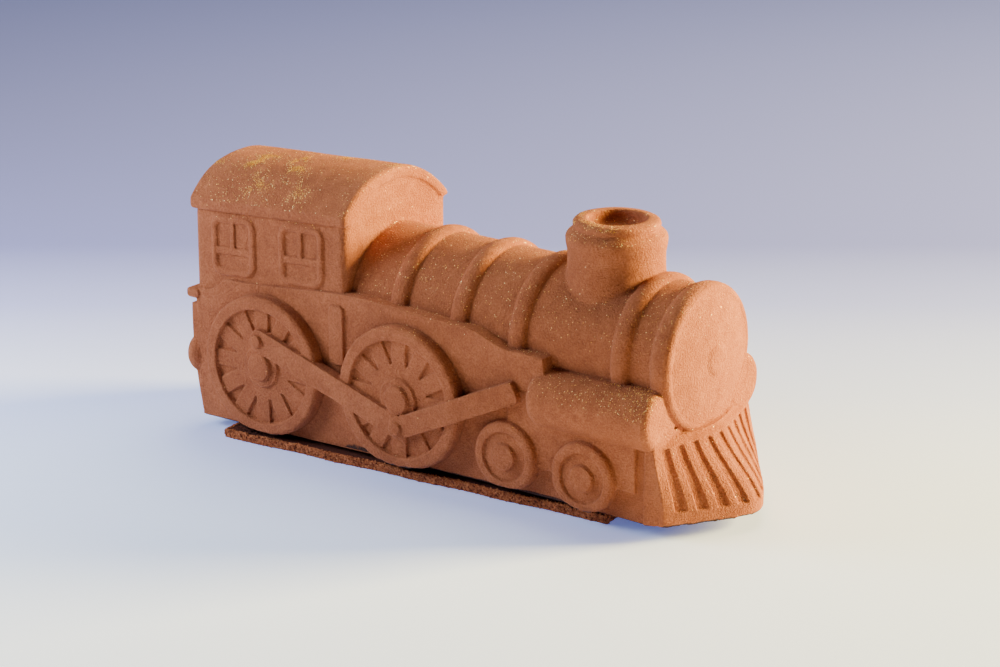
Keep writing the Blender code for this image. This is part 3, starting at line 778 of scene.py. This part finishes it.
cab = {"underRoof": 3.0, "foot": 12.0, "rounding": 3.4}


def addCab(moulding):
    outline = archOutline(cake["roofRadius"] - cab["underRoof"], cake["roofApex"] - cab["underRoof"],
                          cake["cabSide"], cab["foot"])
    shape = bmesh.new()
    loops = []
    for x, inset in roundedEnds(cake["cabRear"], cake["cabFront"], cab["rounding"], 6):
        x, inset = round(x, 4), round(inset, 4)
        loops.append([shape.verts.new((x, math.copysign(max(abs(a) - inset, 0.0), a), b))
                      for a, b in outline])
    skin(shape, loops)
    climb(shape)
    addShape(moulding, shape)


roof = {"thick": 5.2, "rearReach": 1.9, "frontReach": 1.1, "rounding": 2.3, "sag": 0.5,
        "nearLift": 2.4, "farDrop": 1.5, "rearLift": 0.9, "sideInset": 0.8, "innerInset": 5.0}


def addRoof(moulding):
    # A thick curved sheet with rounded ends, which sags by a little in the middle of its length
    radius, apex, eave, thick = cake["roofRadius"], cake["roofApex"], cake["eave"], roof["thick"]
    shape = bmesh.new()
    loops = []
    for x, inset in roundedEnds(cake["cabRear"] - roof["rearReach"], cake["cabFront"] + roof["frontReach"],
                                roof["rounding"], 5):
        foot = eave + inset * 0.6
        outer = archOutline(radius - inset, apex - inset, cake["roofSide"] - roof["sideInset"] - inset, foot)
        inner = archOutline(radius - thick, apex - thick, cake["cabSide"] - roof["innerInset"], foot)
        loops.append([shape.verts.new((x, a, b)) for a, b in outer + inner[::-1]])
    skin(shape, loops)
    for vert in shape.verts:  # the roof stands a little fuller on its right side and lower on its left
        x, y, z = vert.co
        above = smoothStep((z - eave - 0.8) / 1.0)
        lift = roof["nearLift"] * smoothStep(-y / 33.0) * above - roof["farDrop"] * smoothStep(y / 33.0)
        lift += roof["rearLift"] * smoothStep((-8.0 - x) / 30.0) * above
        vert.co.z = z + lift - roof["sag"] * math.exp(-((x - 2.0) / 16.0) ** 2)
    climb(shape)
    addShape(moulding, shape)


window = {"size": (24.9, 27.3), "corner": 5.6, "proud": 1.2, "rim": 3.6, "barProud": 0.9,
          "bars": (((-0.4, 5.2), (2.2, 13.2)), ((0.0, -2.4), (18.4, 3.0))),
          "height": 48.7, "onSides": (-19.4, 18.6), "onRear": (-17.0, 17.0)}


def addWindow(moulding, place, middle, face, side):
    # A raised frame with soft corners round three sunk panes: two tall ones over a wide one
    proud, rim, (width, height) = face + window["proud"], window["rim"], window["size"]
    rows = [(0.0, face - 1.0), (0.0, proud - 1.0), (0.35, proud - 0.35), (1.1, proud), (rim - 1.3, proud),
            (rim - 0.45, proud - 0.4), (rim, proud - 1.1), (rim, face - 1.0)]
    ring = bmesh.new()
    loops = []
    for inset, reach in rows:
        outline = roundedRectangle(middle, (width - 2 * inset, height - 2 * inset),
                                   max(window["corner"] - inset, 1.4), 8)
        loops.append([ring.verts.new(place(a, b, side * reach)) for a, b in outline])
    skin(ring, loops + loops[:1], ends=False)
    shapes = [ring]
    for offset, size in window["bars"]:
        outline = roundedRectangle((middle[0] + offset[0], middle[1] + offset[1]), size, 0.5, 3)
        shapes.append(prism(outline, place, (side * (face - 1.0), side * (face + window["barProud"]))))
    for shape in shapes:
        climb(shape)
        addShape(moulding, shape)


def addWindows(moulding):
    for side in sides:
        for x in window["onSides"]:
            addWindow(moulding, sidePlace, (x, window["height"]), cake["cabSide"], side)
    for y in window["onRear"]:
        addWindow(moulding, endPlace, (y, window["height"]), -cake["cabRear"], -1)


def meltTogether(moulding):
    joined = bmesh.new()
    for mesh in moulding:
        joined.from_mesh(mesh)
        bpy.data.meshes.remove(mesh)
    melted = linkMesh(meshFrom(joined, "moulding"), "melting")
    cells = melted.modifiers.new("cells", "REMESH")
    cells.mode = "VOXEL"
    cells.voxel_size = cake["voxel"]
    soften = melted.modifiers.new("soften", "SMOOTH")
    soften.factor = 0.5
    soften.iterations = cake["softening"]
    applyModifiers(melted)
    return melted


corners = {"chimneyReach": 6.0, "chimneyShare": 0.7, "chimneyWall": 21.5, "boilerTop": 30.0,
           "lipReach": 4.5, "lipShare": 0.9, "eaveReach": 3.2, "eaveShare": 0.85, "eaveSide": 32.0,
           "sheetReach": 8.0, "sheetHeight": 26.0, "rounds": 40}


def chimneyNearness(point):
    # Greatest in the corner where the chimney meets the boiler, 0 away from it
    radius, top = math.hypot(point.x - cake["chimneyX"], point.y), corners["boilerTop"]
    height = cake["boilerAxis"] + math.sqrt(max(top ** 2 - min(abs(point.y), top - 1.0) ** 2, 0.0))
    apart = math.hypot(radius - corners["chimneyWall"], (point.z - height) * 0.8)
    return smoothStep(1.0 - apart / corners["chimneyReach"]) * corners["chimneyShare"]


def roofNearness(point):
    # Greatest at the shallow steps under the roof's lip and eaves, and at the side sheet's front end
    lip, under = 0.0, 0.0
    if point.z > cake["eave"] - 6.0:
        lip = 1.0 - abs(point.x - cake["cabFront"]) / corners["lipReach"]
    if point.x < cake["cabFront"] + 3.0 and abs(point.y) > corners["eaveSide"]:
        eave = cake["eave"] + cake["cabClimb"] * (point.x - cake["cabRear"])
        under = 1.0 - abs(point.z - eave) / corners["eaveReach"]
    apart = math.hypot(point.x - cake["sheetFront"], (point.z - corners["sheetHeight"]) * 0.55)
    return max(smoothStep(lip) * corners["lipShare"], smoothStep(under) * corners["eaveShare"],
               smoothStep(1.0 - apart / corners["sheetReach"]))


def softenCorners(melted):
    # More smoothing where the real moulding has wide hollow corners
    group = melted.vertex_groups.new(name="corners")
    for vert in melted.data.vertices:
        weight = min(max(chimneyNearness(vert.co), roofNearness(vert.co)), 1.0)
        if weight > 0.02:
            group.add([vert.index], weight, "REPLACE")
    corner = melted.modifiers.new("corners", "SMOOTH")
    corner.vertex_group = "corners"
    corner.factor = 0.5
    corner.iterations = corners["rounds"]
    applyModifiers(melted)
    melted.vertex_groups.clear()


hollows = {"rounds": 6, "reach": 0.32}  # how wide the hollows and edges are: the hollows get painted shade, the edges a paler tone


def hollowTree():
    # Notes how hollow each spot is: a blurred surface lies outside it in a hollow and inside it on an edge
    tree, given = newTree("hollows", hollows, hollows, takesMesh=True)
    place = put(tree, "GeometryNodeInputPosition").outputs[0]
    blur = put(tree, "GeometryNodeBlurAttribute", {"data_type": "FLOAT_VECTOR"},
               {"Iterations": given["rounds"]})
    value, blurred = (next(socket for socket in sockets if socket.enabled and socket.type == "VECTOR")
                      for sockets in (blur.inputs, blur.outputs))
    tree.links.new(place, value)
    apart = put(tree, "ShaderNodeVectorMath", {"operation": "SUBTRACT"}, {0: blurred, 1: place}).outputs[0]
    normal = put(tree, "GeometryNodeInputNormal").outputs[0]
    depth = put(tree, "ShaderNodeVectorMath", {"operation": "DOT_PRODUCT"}, {0: apart, 1: normal})
    share = calc(tree, "DIVIDE", depth.outputs["Value"], given["reach"])
    marked = put(tree, "GeometryNodeStoreNamedAttribute", {"data_type": "FLOAT", "domain": "POINT"},
                 {"Geometry": given["Mesh"], "Name": "hollow", "Value": share})
    return closeTree(tree, given, marked.outputs[0])


def evenNormals(item):
    # Shades flat faces flat and keeps the turn of an edge within the edge
    weighted = item.modifiers.new("even", "WEIGHTED_NORMAL")
    weighted.mode = "FACE_AREA"
    weighted.weight = 50
    applyModifiers(item)


def thinOut(melted, wanted):
    count = sum(len(face.vertices) - 2 for face in melted.data.polygons)
    thin = melted.modifiers.new("thin", "DECIMATE")
    thin.ratio = min(1.0, wanted / count)
    thin.use_collapse_triangulate = True
    applyModifiers(melted)


def keepLargestShell(shape):
    shells = []
    unseen = set(shape.faces)
    while unseen:
        stack = [unseen.pop()]
        shell = set(stack)
        while stack:
            for edge in stack.pop().edges:
                for face in edge.link_faces:
                    if face in unseen:
                        unseen.discard(face)
                        shell.add(face)
                        stack.append(face)
        shells.append(shell)
    shells.sort(key=len)
    loose = [face for shell in shells[:-1] for face in shell]
    bmesh.ops.delete(shape, geom=loose, context="FACES")
    stray = [vert for vert in shape.verts if not vert.link_faces]
    bmesh.ops.delete(shape, geom=stray, context="VERTS")


unevenness = {"wide": 0.14, "wideSize": 11.0, "near": 0.06, "nearSize": 2.6,
              "tornHeight": 4.0, "raggedHeight": 1.1,
              "lift": ((-60.0, 0.3), (10.0, 0.3), (38.0, 0.9), (70.0, 1.0), (104.0, 2.0), (152.0, 2.0),
                       (172.0, 0.4), (240.0, 0.3))}  # how far the torn foot stands off the sponge


def roughen(shape):
    # The slight waves of a hand-sprayed moulding, and the torn line along its foot
    shape.normal_update()
    moves = []
    for vert in shape.verts:
        point = vert.co
        wide = noise.noise(point / unevenness["wideSize"])
        near = noise.noise(point / unevenness["nearSize"] + Vector((31.0, 7.0, 3.0)))
        move = vert.normal * (wide * unevenness["wide"] + near * unevenness["near"])
        height = point.z - cake["underside"]
        if height < unevenness["tornHeight"]:
            torn = max(0.0, 0.35 + noise.noise(Vector((point.x / 3.1, point.y / 3.1, 5.0)))
                       + 0.6 * noise.noise(Vector((point.x / 1.1, point.y / 1.1, 9.0))))
            share = 1.0 - max(height, 0.0) / unevenness["tornHeight"]
            rim = smoothStep((max(abs(point.y) - 31.0, point.x - 196.0)) / 4.0)
            lift = heightAlong(unevenness["lift"], point.x) + unevenness["raggedHeight"] * torn
            move = move + Vector((0.0, 0.0, lift * share * rim))
        moves.append(move)
    for vert, move in zip(shape.verts, moves):
        vert.co = vert.co + move
        vert.co.z = max(vert.co.z, cake["underside"])


bareSpots = (((221.0, -8.0, -21.5), 2.2), ((224.4, -6.0, -23.6), 2.6), ((226.5, -1.2, -27.0), 2.0),
             ((222.0, -7.5, -26.5), 1.8), ((217.0, -14.0, -28.0), 1.4))


def bareness(point, normal):
    # How far the velvet is missing: along the torn foot, under the cake and at a few rubbed spots
    foot = cake["underside"] + heightAlong(unevenness["lift"], point.x) + 0.5
    speck = 0.5 * noise.noise(Vector((point.x / 1.2, point.y / 1.2, point.z / 1.2)))
    amount = min(max(0.55 + (foot - point.z) / 1.4 + speck, 0.0), 1.0) if point.z < foot + 2.2 else 0.0
    if normal.z < -0.6 and point.z < foot + 1.5:
        amount = 1.0
    for spot, radius in bareSpots:
        amount = max(amount, 0.62 * math.exp(-((point - Vector(spot)).length / radius) ** 2))
    return amount


def intoFrame(shape):
    # From millimetres round the rear axle to metres in the frame
    for vert in shape.verts:
        vert.co = Vector((vert.co.x * mm + axleX, vert.co.y * mm, vert.co.z * mm + axleZ))


def makeCake():
    moulding = []
    for step in (addFrame, addCab, addRoof, addWindows, addBoiler, addChimney, addSteamCylinders, addPlough,
                 addDriveWheels, addSmallWheels, addRods):
        step(moulding)
    print("shapes of the moulding:", len(moulding))
    melted = meltTogether(moulding)
    softenCorners(melted)
    melted.data = runTree(hollowTree(), hollows, velvetFinish, "moulding", melted.data)
    thinOut(melted, cake["fineFaces"])
    shape = shapeFrom(melted.data)
    bpy.data.objects.remove(melted, do_unlink=True)
    keepLargestShell(shape)
    bmesh.ops.triangulate(shape, faces=shape.faces)
    roughen(shape)
    shape.normal_update()
    bare = [bareness(vert.co, vert.normal) for vert in shape.verts]
    intoFrame(shape)
    bmesh.ops.recalc_face_normals(shape, faces=shape.faces)
    mesh = meshFrom(shape, "cakeMoulding")
    noteAtPoints(mesh, "bare", bare)
    mesh.shade_smooth()
    mesh.materials.clear()
    mesh.materials.append(velvetFinish)
    item = linkMesh(mesh, "cakeMoulding")
    evenNormals(item)
    item.data.name = "cakeMoulding"
    print("cake moulding:", len(item.data.polygons), "faces")
    return item


glitter = {
    "density": 12500000.0, "size": 0.00029, "seed": 7, "cell": 1.3, "lowest": 0.045,
    "roof": 0.018, "roofEdge": 0.024, "drift": 1.3, "boiler": 0.021, "chimney": 0.02, "chimneyNear": 0.06,
    "chimneyRim": 0.24, "cylinder": 0.032, "cylinderFront": 0.11, "face": 0.003, "rest": 0.0012,
    "drifts": (((-24.0, -15.5), 4.2, 1.0), ((-20.5, -9.5), 4.2, 0.7), ((-13.0, -28.5), 5.0, 0.34),
               ((-7.0, -31.5), 3.6, 0.30), ((-5.2, -5.5), 3.2, 1.3), ((-3.6, -11.0), 3.0, 1.2),
               ((1.7, -16.5), 3.4, 0.8), ((7.0, -23.0), 4.0, 0.32), ((13.5, -31.5), 3.8, 0.34),
               ((13.0, 5.0), 3.8, 1.2), ((-41.0, -19.0), 2.6, 0.5), ((41.0, 2.0), 3.4, 0.45),
               ((22.0, 18.0), 5.0, 0.5), ((-16.0, 15.0), 5.0, 0.5), ((-30.0, 24.0), 4.0, 0.3)),
}


def goldAmount(point, normal):
    # Where the flakes fell: on what faces up, thickest in drifts on the roof
    x, y, z = point
    up = smoothStep((normal.z + 0.05) / 0.7)
    fleck = max(0.45 + 1.1 * noise.noise(point / 4.0) + 0.7 * noise.noise(point / 1.6), 0.0)
    clump = max(0.55 + 1.2 * noise.noise(point / 4.5) + 0.5 * noise.noise(point / 2.4), 0.0)
    amount = glitter["rest"] * up
    if z > 62.0 and x < 46.0:
        drift = sum(strength * math.exp(-((x - driftX) ** 2 + (y - driftY) ** 2) / radius ** 2)
                    for (driftX, driftY), radius, strength in glitter["drifts"])
        edge = glitter["roofEdge"] * smoothStep((x - 34.0) / 9.0)
        amount = (glitter["roof"] + edge) * up * (0.3 + fleck) + min(drift, glitter["drift"]) * clump * up
    elif x > 46.0 and z > 26.0:
        amount = glitter["boiler"] * up * (0.2 + fleck)
        if z > 72.0 and math.hypot(x - cake["chimneyX"], y) < 24.0:
            # most of the chimney's flakes lie on the near half of its rim
            nearHalf = smoothStep((-y - 0.5 * (x - cake["chimneyX"])) / 9.0)
            near = glitter["chimneyRim"] if z > 81.0 else glitter["chimneyNear"]
            amount = (glitter["chimney"] + near * nearHalf) * up * fleck
    elif z > 12.0 and x > 134.0:
        rise = smoothStep((x - 158.0) / 40.0)
        amount = (glitter["cylinder"] + glitter["cylinderFront"] * rise) * up * (0.2 + fleck)
    elif x > 198.0:
        amount = glitter["face"] * (0.3 + fleck)
    return min(amount, 1.0)


def makeGoldBed(item):
    # A copy of what faces up, cut fine enough to carry the drifts, with the density noted at its points
    shape = shapeFrom(item.data)
    hidden = [face for face in shape.faces if face.normal.z < -0.3]
    bmesh.ops.delete(shape, geom=hidden, context="FACES")
    for _ in range(3):
        long = [edge for edge in shape.edges if edge.calc_length() > glitter["cell"] * mm
                and edge.verts[0].co.z > glitter["lowest"]]
        if long:
            bmesh.ops.subdivide_edges(shape, edges=long, cuts=1)
            bmesh.ops.triangulate(shape, faces=shape.faces)
    shape.normal_update()
    amounts = []
    for vert in shape.verts:
        point = Vector(((vert.co.x - axleX) / mm, vert.co.y / mm, (vert.co.z - axleZ) / mm))
        amounts.append(goldAmount(point, vert.normal))
    mesh = meshFrom(shape, "goldBed")
    noteAtPoints(mesh, "gold", amounts)
    return mesh


def dropped(tree, given, name):
    # Points dropped on a surface, as close together as the amount noted on it asks
    amount = put(tree, "GeometryNodeInputNamedAttribute", {"data_type": "FLOAT"}, {"Name": name}).outputs[0]
    return put(tree, "GeometryNodeDistributePointsOnFaces", {"distribute_method": "RANDOM"}, {
        "Mesh": given["Mesh"], "Density": calc(tree, "MULTIPLY", amount, given["density"]),
        "Seed": given["seed"]}).outputs


def chance(tree, low, high, seed):
    # A number or a vector that differs from piece to piece
    kind, first, out = ("FLOAT_VECTOR", 0, 0) if isinstance(low, tuple) else ("FLOAT", 2, 1)
    return put(tree, "FunctionNodeRandomValue", {"data_type": kind},
               {first: low, first + 1: high, "Seed": seed}).outputs[out]


def scattered(tree, points, piece, turn, size, seed):
    # The piece on each point, with a shade of its own
    placed = put(tree, "GeometryNodeInstanceOnPoints", None, {
        "Points": points, "Instance": piece, "Rotation": turn, "Scale": size})
    return put(tree, "GeometryNodeStoreNamedAttribute", {"data_type": "FLOAT", "domain": "INSTANCE"}, {
        "Geometry": placed.outputs[0], "Name": "shade", "Value": chance(tree, 0.0, 1.0, seed)}).outputs[0]


def glitterTree():
    # Thin flakes, each tilted, turned and sized by chance
    tree, given = newTree("goldFlakes", glitter, ("density", "size", "seed"), takesMesh=True)
    drops = dropped(tree, given, "gold")
    flake = put(tree, "GeometryNodeMeshUVSphere", None, {"Segments": 4, "Rings": 2, "Radius": given["size"]})
    thin = put(tree, "GeometryNodeTransform", None, {"Geometry": flake.outputs[0], "Scale": (1.0, 0.8, 0.3)})
    lying = put(tree, "FunctionNodeRotateRotation", {"rotation_space": "LOCAL"}, {
        "Rotation": drops["Rotation"], "Rotate By": chance(tree, (-0.6, -0.6, -3.1), (0.6, 0.6, 3.1), 11)})
    return closeTree(tree, given, scattered(tree, drops["Points"], thin.outputs[0], lying.outputs[0],
                                            chance(tree, 0.35, 1.35, 12), 13))


cakeMoulding = makeCake()
flakes = runTree(glitterTree(), glitter, goldFinish, "goldFlakes", makeGoldBed(cakeMoulding))
goldFlakes = linkMesh(flakes, "goldFlakes")
print("gold flakes:", len(flakes.polygons), "faces")


sponge = {"length": 197.0, "width": 76.0, "turn": math.radians(3.05), "middle": (76.0, -1.85),
          "step": 0.5, "tear": 0.75, "wave": 0.45, "deep": 18.0}


def spongeOutline():
    # Walks round the slab and gives each point with its outward direction
    half = (sponge["length"] / 2, sponge["width"] / 2)
    walk = []
    turns = ((-1, -1), (1, -1), (1, 1), (-1, 1))
    for (x0, y0), (x1, y1) in zip(turns, turns[1:] + turns[:1]):
        start = Vector((x0 * half[0], y0 * half[1]))
        stop = Vector((x1 * half[0], y1 * half[1]))
        steps = int((stop - start).length / sponge["step"])
        outward = Vector((0.0, y0)) if y0 == y1 else Vector((x0, 0.0))
        for i in range(steps):
            point = start.lerp(stop, i / steps)
            wave = sponge["wave"] * math.sin(point.x / 7.0 + 1.3 * point.y / 9.0)
            walk.append((point + outward * wave, outward))
    return walk


def tornEdge(point):
    return (noise.noise(point / 1.5) * 0.9 + noise.noise(point / 0.7 + Vector((9.0, 0.0, 0.0))) * 0.6
            + noise.noise(point / 5.0) * 0.7)


def makeSponge():
    # A torn slab: fine rows down its sides, wider ones across its hidden top and bottom
    walk = spongeOutline()
    bottom, top, deep = cake["floor"], cake["spongeTop"], sponge["deep"]
    rows = [(deep, bottom, 0.0), (3.0, bottom, 0.0), (0.9, bottom, 0.0), (0.3, bottom + 0.05, 0.5)]
    rows += [(0.0, bottom + 0.35 + (top - bottom - 0.7) * k / 7, 1.0) for k in range(8)]
    rows += [(0.3, top - 0.1, 0.8), (0.9, top - 0.05, 0.7), (1.6, top - 0.05, 0.6), (2.4, top - 0.1, 0.5),
             (4.0, top - 0.1, 0.2), (deep, top - 0.1, 0.0)]
    turn = Matrix.Rotation(sponge["turn"], 4, "Z")
    shape = bmesh.new()
    loops = []
    for inset, height, roughness in rows:
        loop = []
        for point, outward in walk:
            spot = point - outward * inset
            place = Vector((spot.x, spot.y, height))
            tear = tornEdge(place) * sponge["tear"] * roughness
            place = place + Vector((outward.x, outward.y, 0.0)) * (tear - 0.25 * roughness)
            if inset > 0.2 and height > bottom + 1.0:
                place.z += min(tornEdge(place * 1.1 + Vector((0.0, 0.0, 40.0))) * 0.35 * roughness - 0.1, 0.0)
            place = turn @ place
            loop.append(shape.verts.new((place.x + sponge["middle"][0], place.y + sponge["middle"][1],
                                         min(max(place.z, bottom), top))))
        loops.append(loop)
    skin(shape, loops)
    bmesh.ops.recalc_face_normals(shape, faces=shape.faces)
    torn = [1.0 if inset < 1.0 and height > bottom + 0.2 else 0.0 for inset, height, _ in rows for _ in walk]
    intoFrame(shape)
    mesh = meshFrom(shape, "spongeSlab")
    noteAtPoints(mesh, "torn", torn)
    mesh.shade_smooth()
    mesh.materials.append(spongeFinish)
    print("sponge slab:", len(mesh.polygons), "faces")
    return linkMesh(mesh, "spongeSlab")


crumbs = {"density": 1150000.0, "size": 0.00054, "seed": 4, "chipSize": 2200.0, "chipDepth": 0.00045}


def crumbTree():
    # Small lumps stuck to the torn edge, no two alike
    tree, given = newTree("spongeCrumbs", crumbs, crumbs, takesMesh=True)
    drops = dropped(tree, given, "torn")
    lump = put(tree, "GeometryNodeMeshIcoSphere", None, {"Radius": given["size"], "Subdivisions": 1})
    turn = chance(tree, (0.0, 0.0, 0.0), (6.28, 6.28, 6.28), 21)
    size = chance(tree, (0.35, 0.35, 0.35), (1.25, 1.1, 1.0), 22)
    marked = scattered(tree, drops["Points"], lump.outputs[0], turn, size, 23)
    real = put(tree, "GeometryNodeRealizeInstances", None, {0: marked})
    chips = put(tree, "ShaderNodeTexNoise", None, {"Scale": given["chipSize"], "Detail": 1.0})
    push = put(tree, "ShaderNodeVectorMath", {"operation": "SUBTRACT"},
               {0: chips.outputs["Color"], 1: (0.5, 0.5, 0.5)})
    reach = put(tree, "ShaderNodeVectorMath", {"operation": "SCALE"},
                {0: push.outputs[0], "Scale": given["chipDepth"]})
    broken = put(tree, "GeometryNodeSetPosition", None,
                 {"Geometry": real.outputs[0], "Offset": reach.outputs[0]})
    return closeTree(tree, given, broken.outputs[0])


spongeSlab = makeSponge()
crumbMesh = runTree(crumbTree(), crumbs, looseCrumbFinish, "spongeCrumbs", spongeSlab.data.copy())
for vert in crumbMesh.vertices:
    vert.co.z = max(vert.co.z, 0.0)  # none sinks below what the base rests on
spongeCrumbs = linkMesh(crumbMesh, "spongeCrumbs")
print("sponge crumbs:", len(crumbMesh.polygons), "faces")


studio = {
    "lamps": {"keyLamp": ((1.181, 1.223, 0.50), 0.60, 228.0, (1.0, 0.85, 0.37)),
              "fillLamp": ((-0.45, -0.30, 0.30), 0.30, 5.1, (0.66, 0.79, 1.0)),
              "topLamp": ((-0.30, 0.75, 1.8), 1.2, 26.0, (0.97, 1.0, 0.82))},  # place, size, power and colour
    "aim": (0.0, 0.0, 0.05), "skyColour": (0.60, 0.70, 1.0), "skyStrength": 0.05,
}

floorLook = {
    "half": 6.0, "away": (-0.58, 0.81), "near": -0.1, "far": 1.9,
    # the tint is the floor's own pale blue, darkened far away as painted shade of the light falling off
    "falloffTint": ((0.0, (0.90, 0.93, 1.0)), (0.024, (0.66, 0.70, 0.97)), (0.07, (0.35, 0.37, 0.76)),
             (0.12, (0.19, 0.20, 0.53)), (0.52, (0.135, 0.15, 0.44)), (1.0, (0.07, 0.08, 0.26))),
    # the glow is painted light: blue emission near the cake, though the floor is no lamp
    "paintedGlow": ((0.0, (0.10, 0.13, 0.38)), (0.12, (0.02, 0.03, 0.12)), (1.0, (0.0, 0.01, 0.06))),
    "finish": {"Emission Strength": 1.0, "Roughness": 0.75},
}


def makeFloor():
    # A pale sheet that falls off to a darker, bluer tone far behind the cake, as painted shade where the
    # light falls off, with a painted blue glow near the cake
    material, tree, shader, place = newMaterial("paleFloor")
    x, y, _ = put(tree, "ShaderNodeSeparateXYZ", None, {0: place}).outputs
    away = weighed(tree, (x, floorLook["away"][0]), (y, floorLook["away"][1]))
    share = eased(tree, away, floorLook["near"], floorLook["far"])
    # painted shade: the floor darkens and turns bluer away from the camera, as the light falls off
    tree.links.new(ramp(tree, share, floorLook["falloffTint"]), shader.inputs["Base Color"])
    # painted light: the floor glows blue near the cake
    tree.links.new(ramp(tree, share, floorLook["paintedGlow"]), shader.inputs["Emission Color"])
    finish(shader, floorLook["finish"])
    shape = bmesh.new()
    bmesh.ops.create_grid(shape, x_segments=1, y_segments=1, size=floorLook["half"])
    mesh = meshFrom(shape, "floor")
    mesh.materials.append(material)
    return linkMesh(mesh, "floor")


def addLamp(name, place, size, power, colour):
    lamp = bpy.data.lights.new(name, "AREA")
    lamp.shape = "SQUARE"
    lamp.size = size
    lamp.energy = power
    lamp.color = colour
    item = bpy.data.objects.new(name, lamp)
    bpy.context.scene.collection.objects.link(item)
    item.location = place
    item.rotation_euler = (Vector(studio["aim"]) - Vector(place)).to_track_quat("-Z", "Y").to_euler()


def makeStudio():
    for name, lamp in studio["lamps"].items():
        addLamp(name, *lamp)
    world = bpy.data.worlds.new("studio")
    bpy.context.scene.world = world
    world.use_nodes = True
    back = world.node_tree.nodes["Background"]
    back.inputs["Color"].default_value = (*studio["skyColour"], 1.0)
    back.inputs["Strength"].default_value = studio["skyStrength"]


view = {"azimuth": 35.65, "elevation": 17.75, "distance": 1.280, "aim": (0.0087, 0.0, 0.0584), "lens": 108.0}


def makeCamera():
    turn, rise = math.radians(view["azimuth"]), math.radians(view["elevation"])
    back = Vector((math.sin(turn) * math.cos(rise), -math.cos(turn) * math.cos(rise), math.sin(rise)))
    camera = bpy.data.objects.new("camera", bpy.data.cameras.new("camera"))
    bpy.context.scene.collection.objects.link(camera)
    camera.data.lens = view["lens"]
    camera.data.sensor_width = 36.0
    camera.data.clip_start = 0.01
    camera.location = Vector(view["aim"]) + back * view["distance"]
    camera.rotation_euler = (-back).to_track_quat("-Z", "Y").to_euler()
    bpy.context.scene.camera = camera


makeFloor()
makeStudio()
makeCamera()
print("studio is ready")

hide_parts("moulded_cake")
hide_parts("sponge_base")
for piece in (cakeMoulding, goldFlakes, spongeSlab, spongeCrumbs):
    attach(piece, "root")
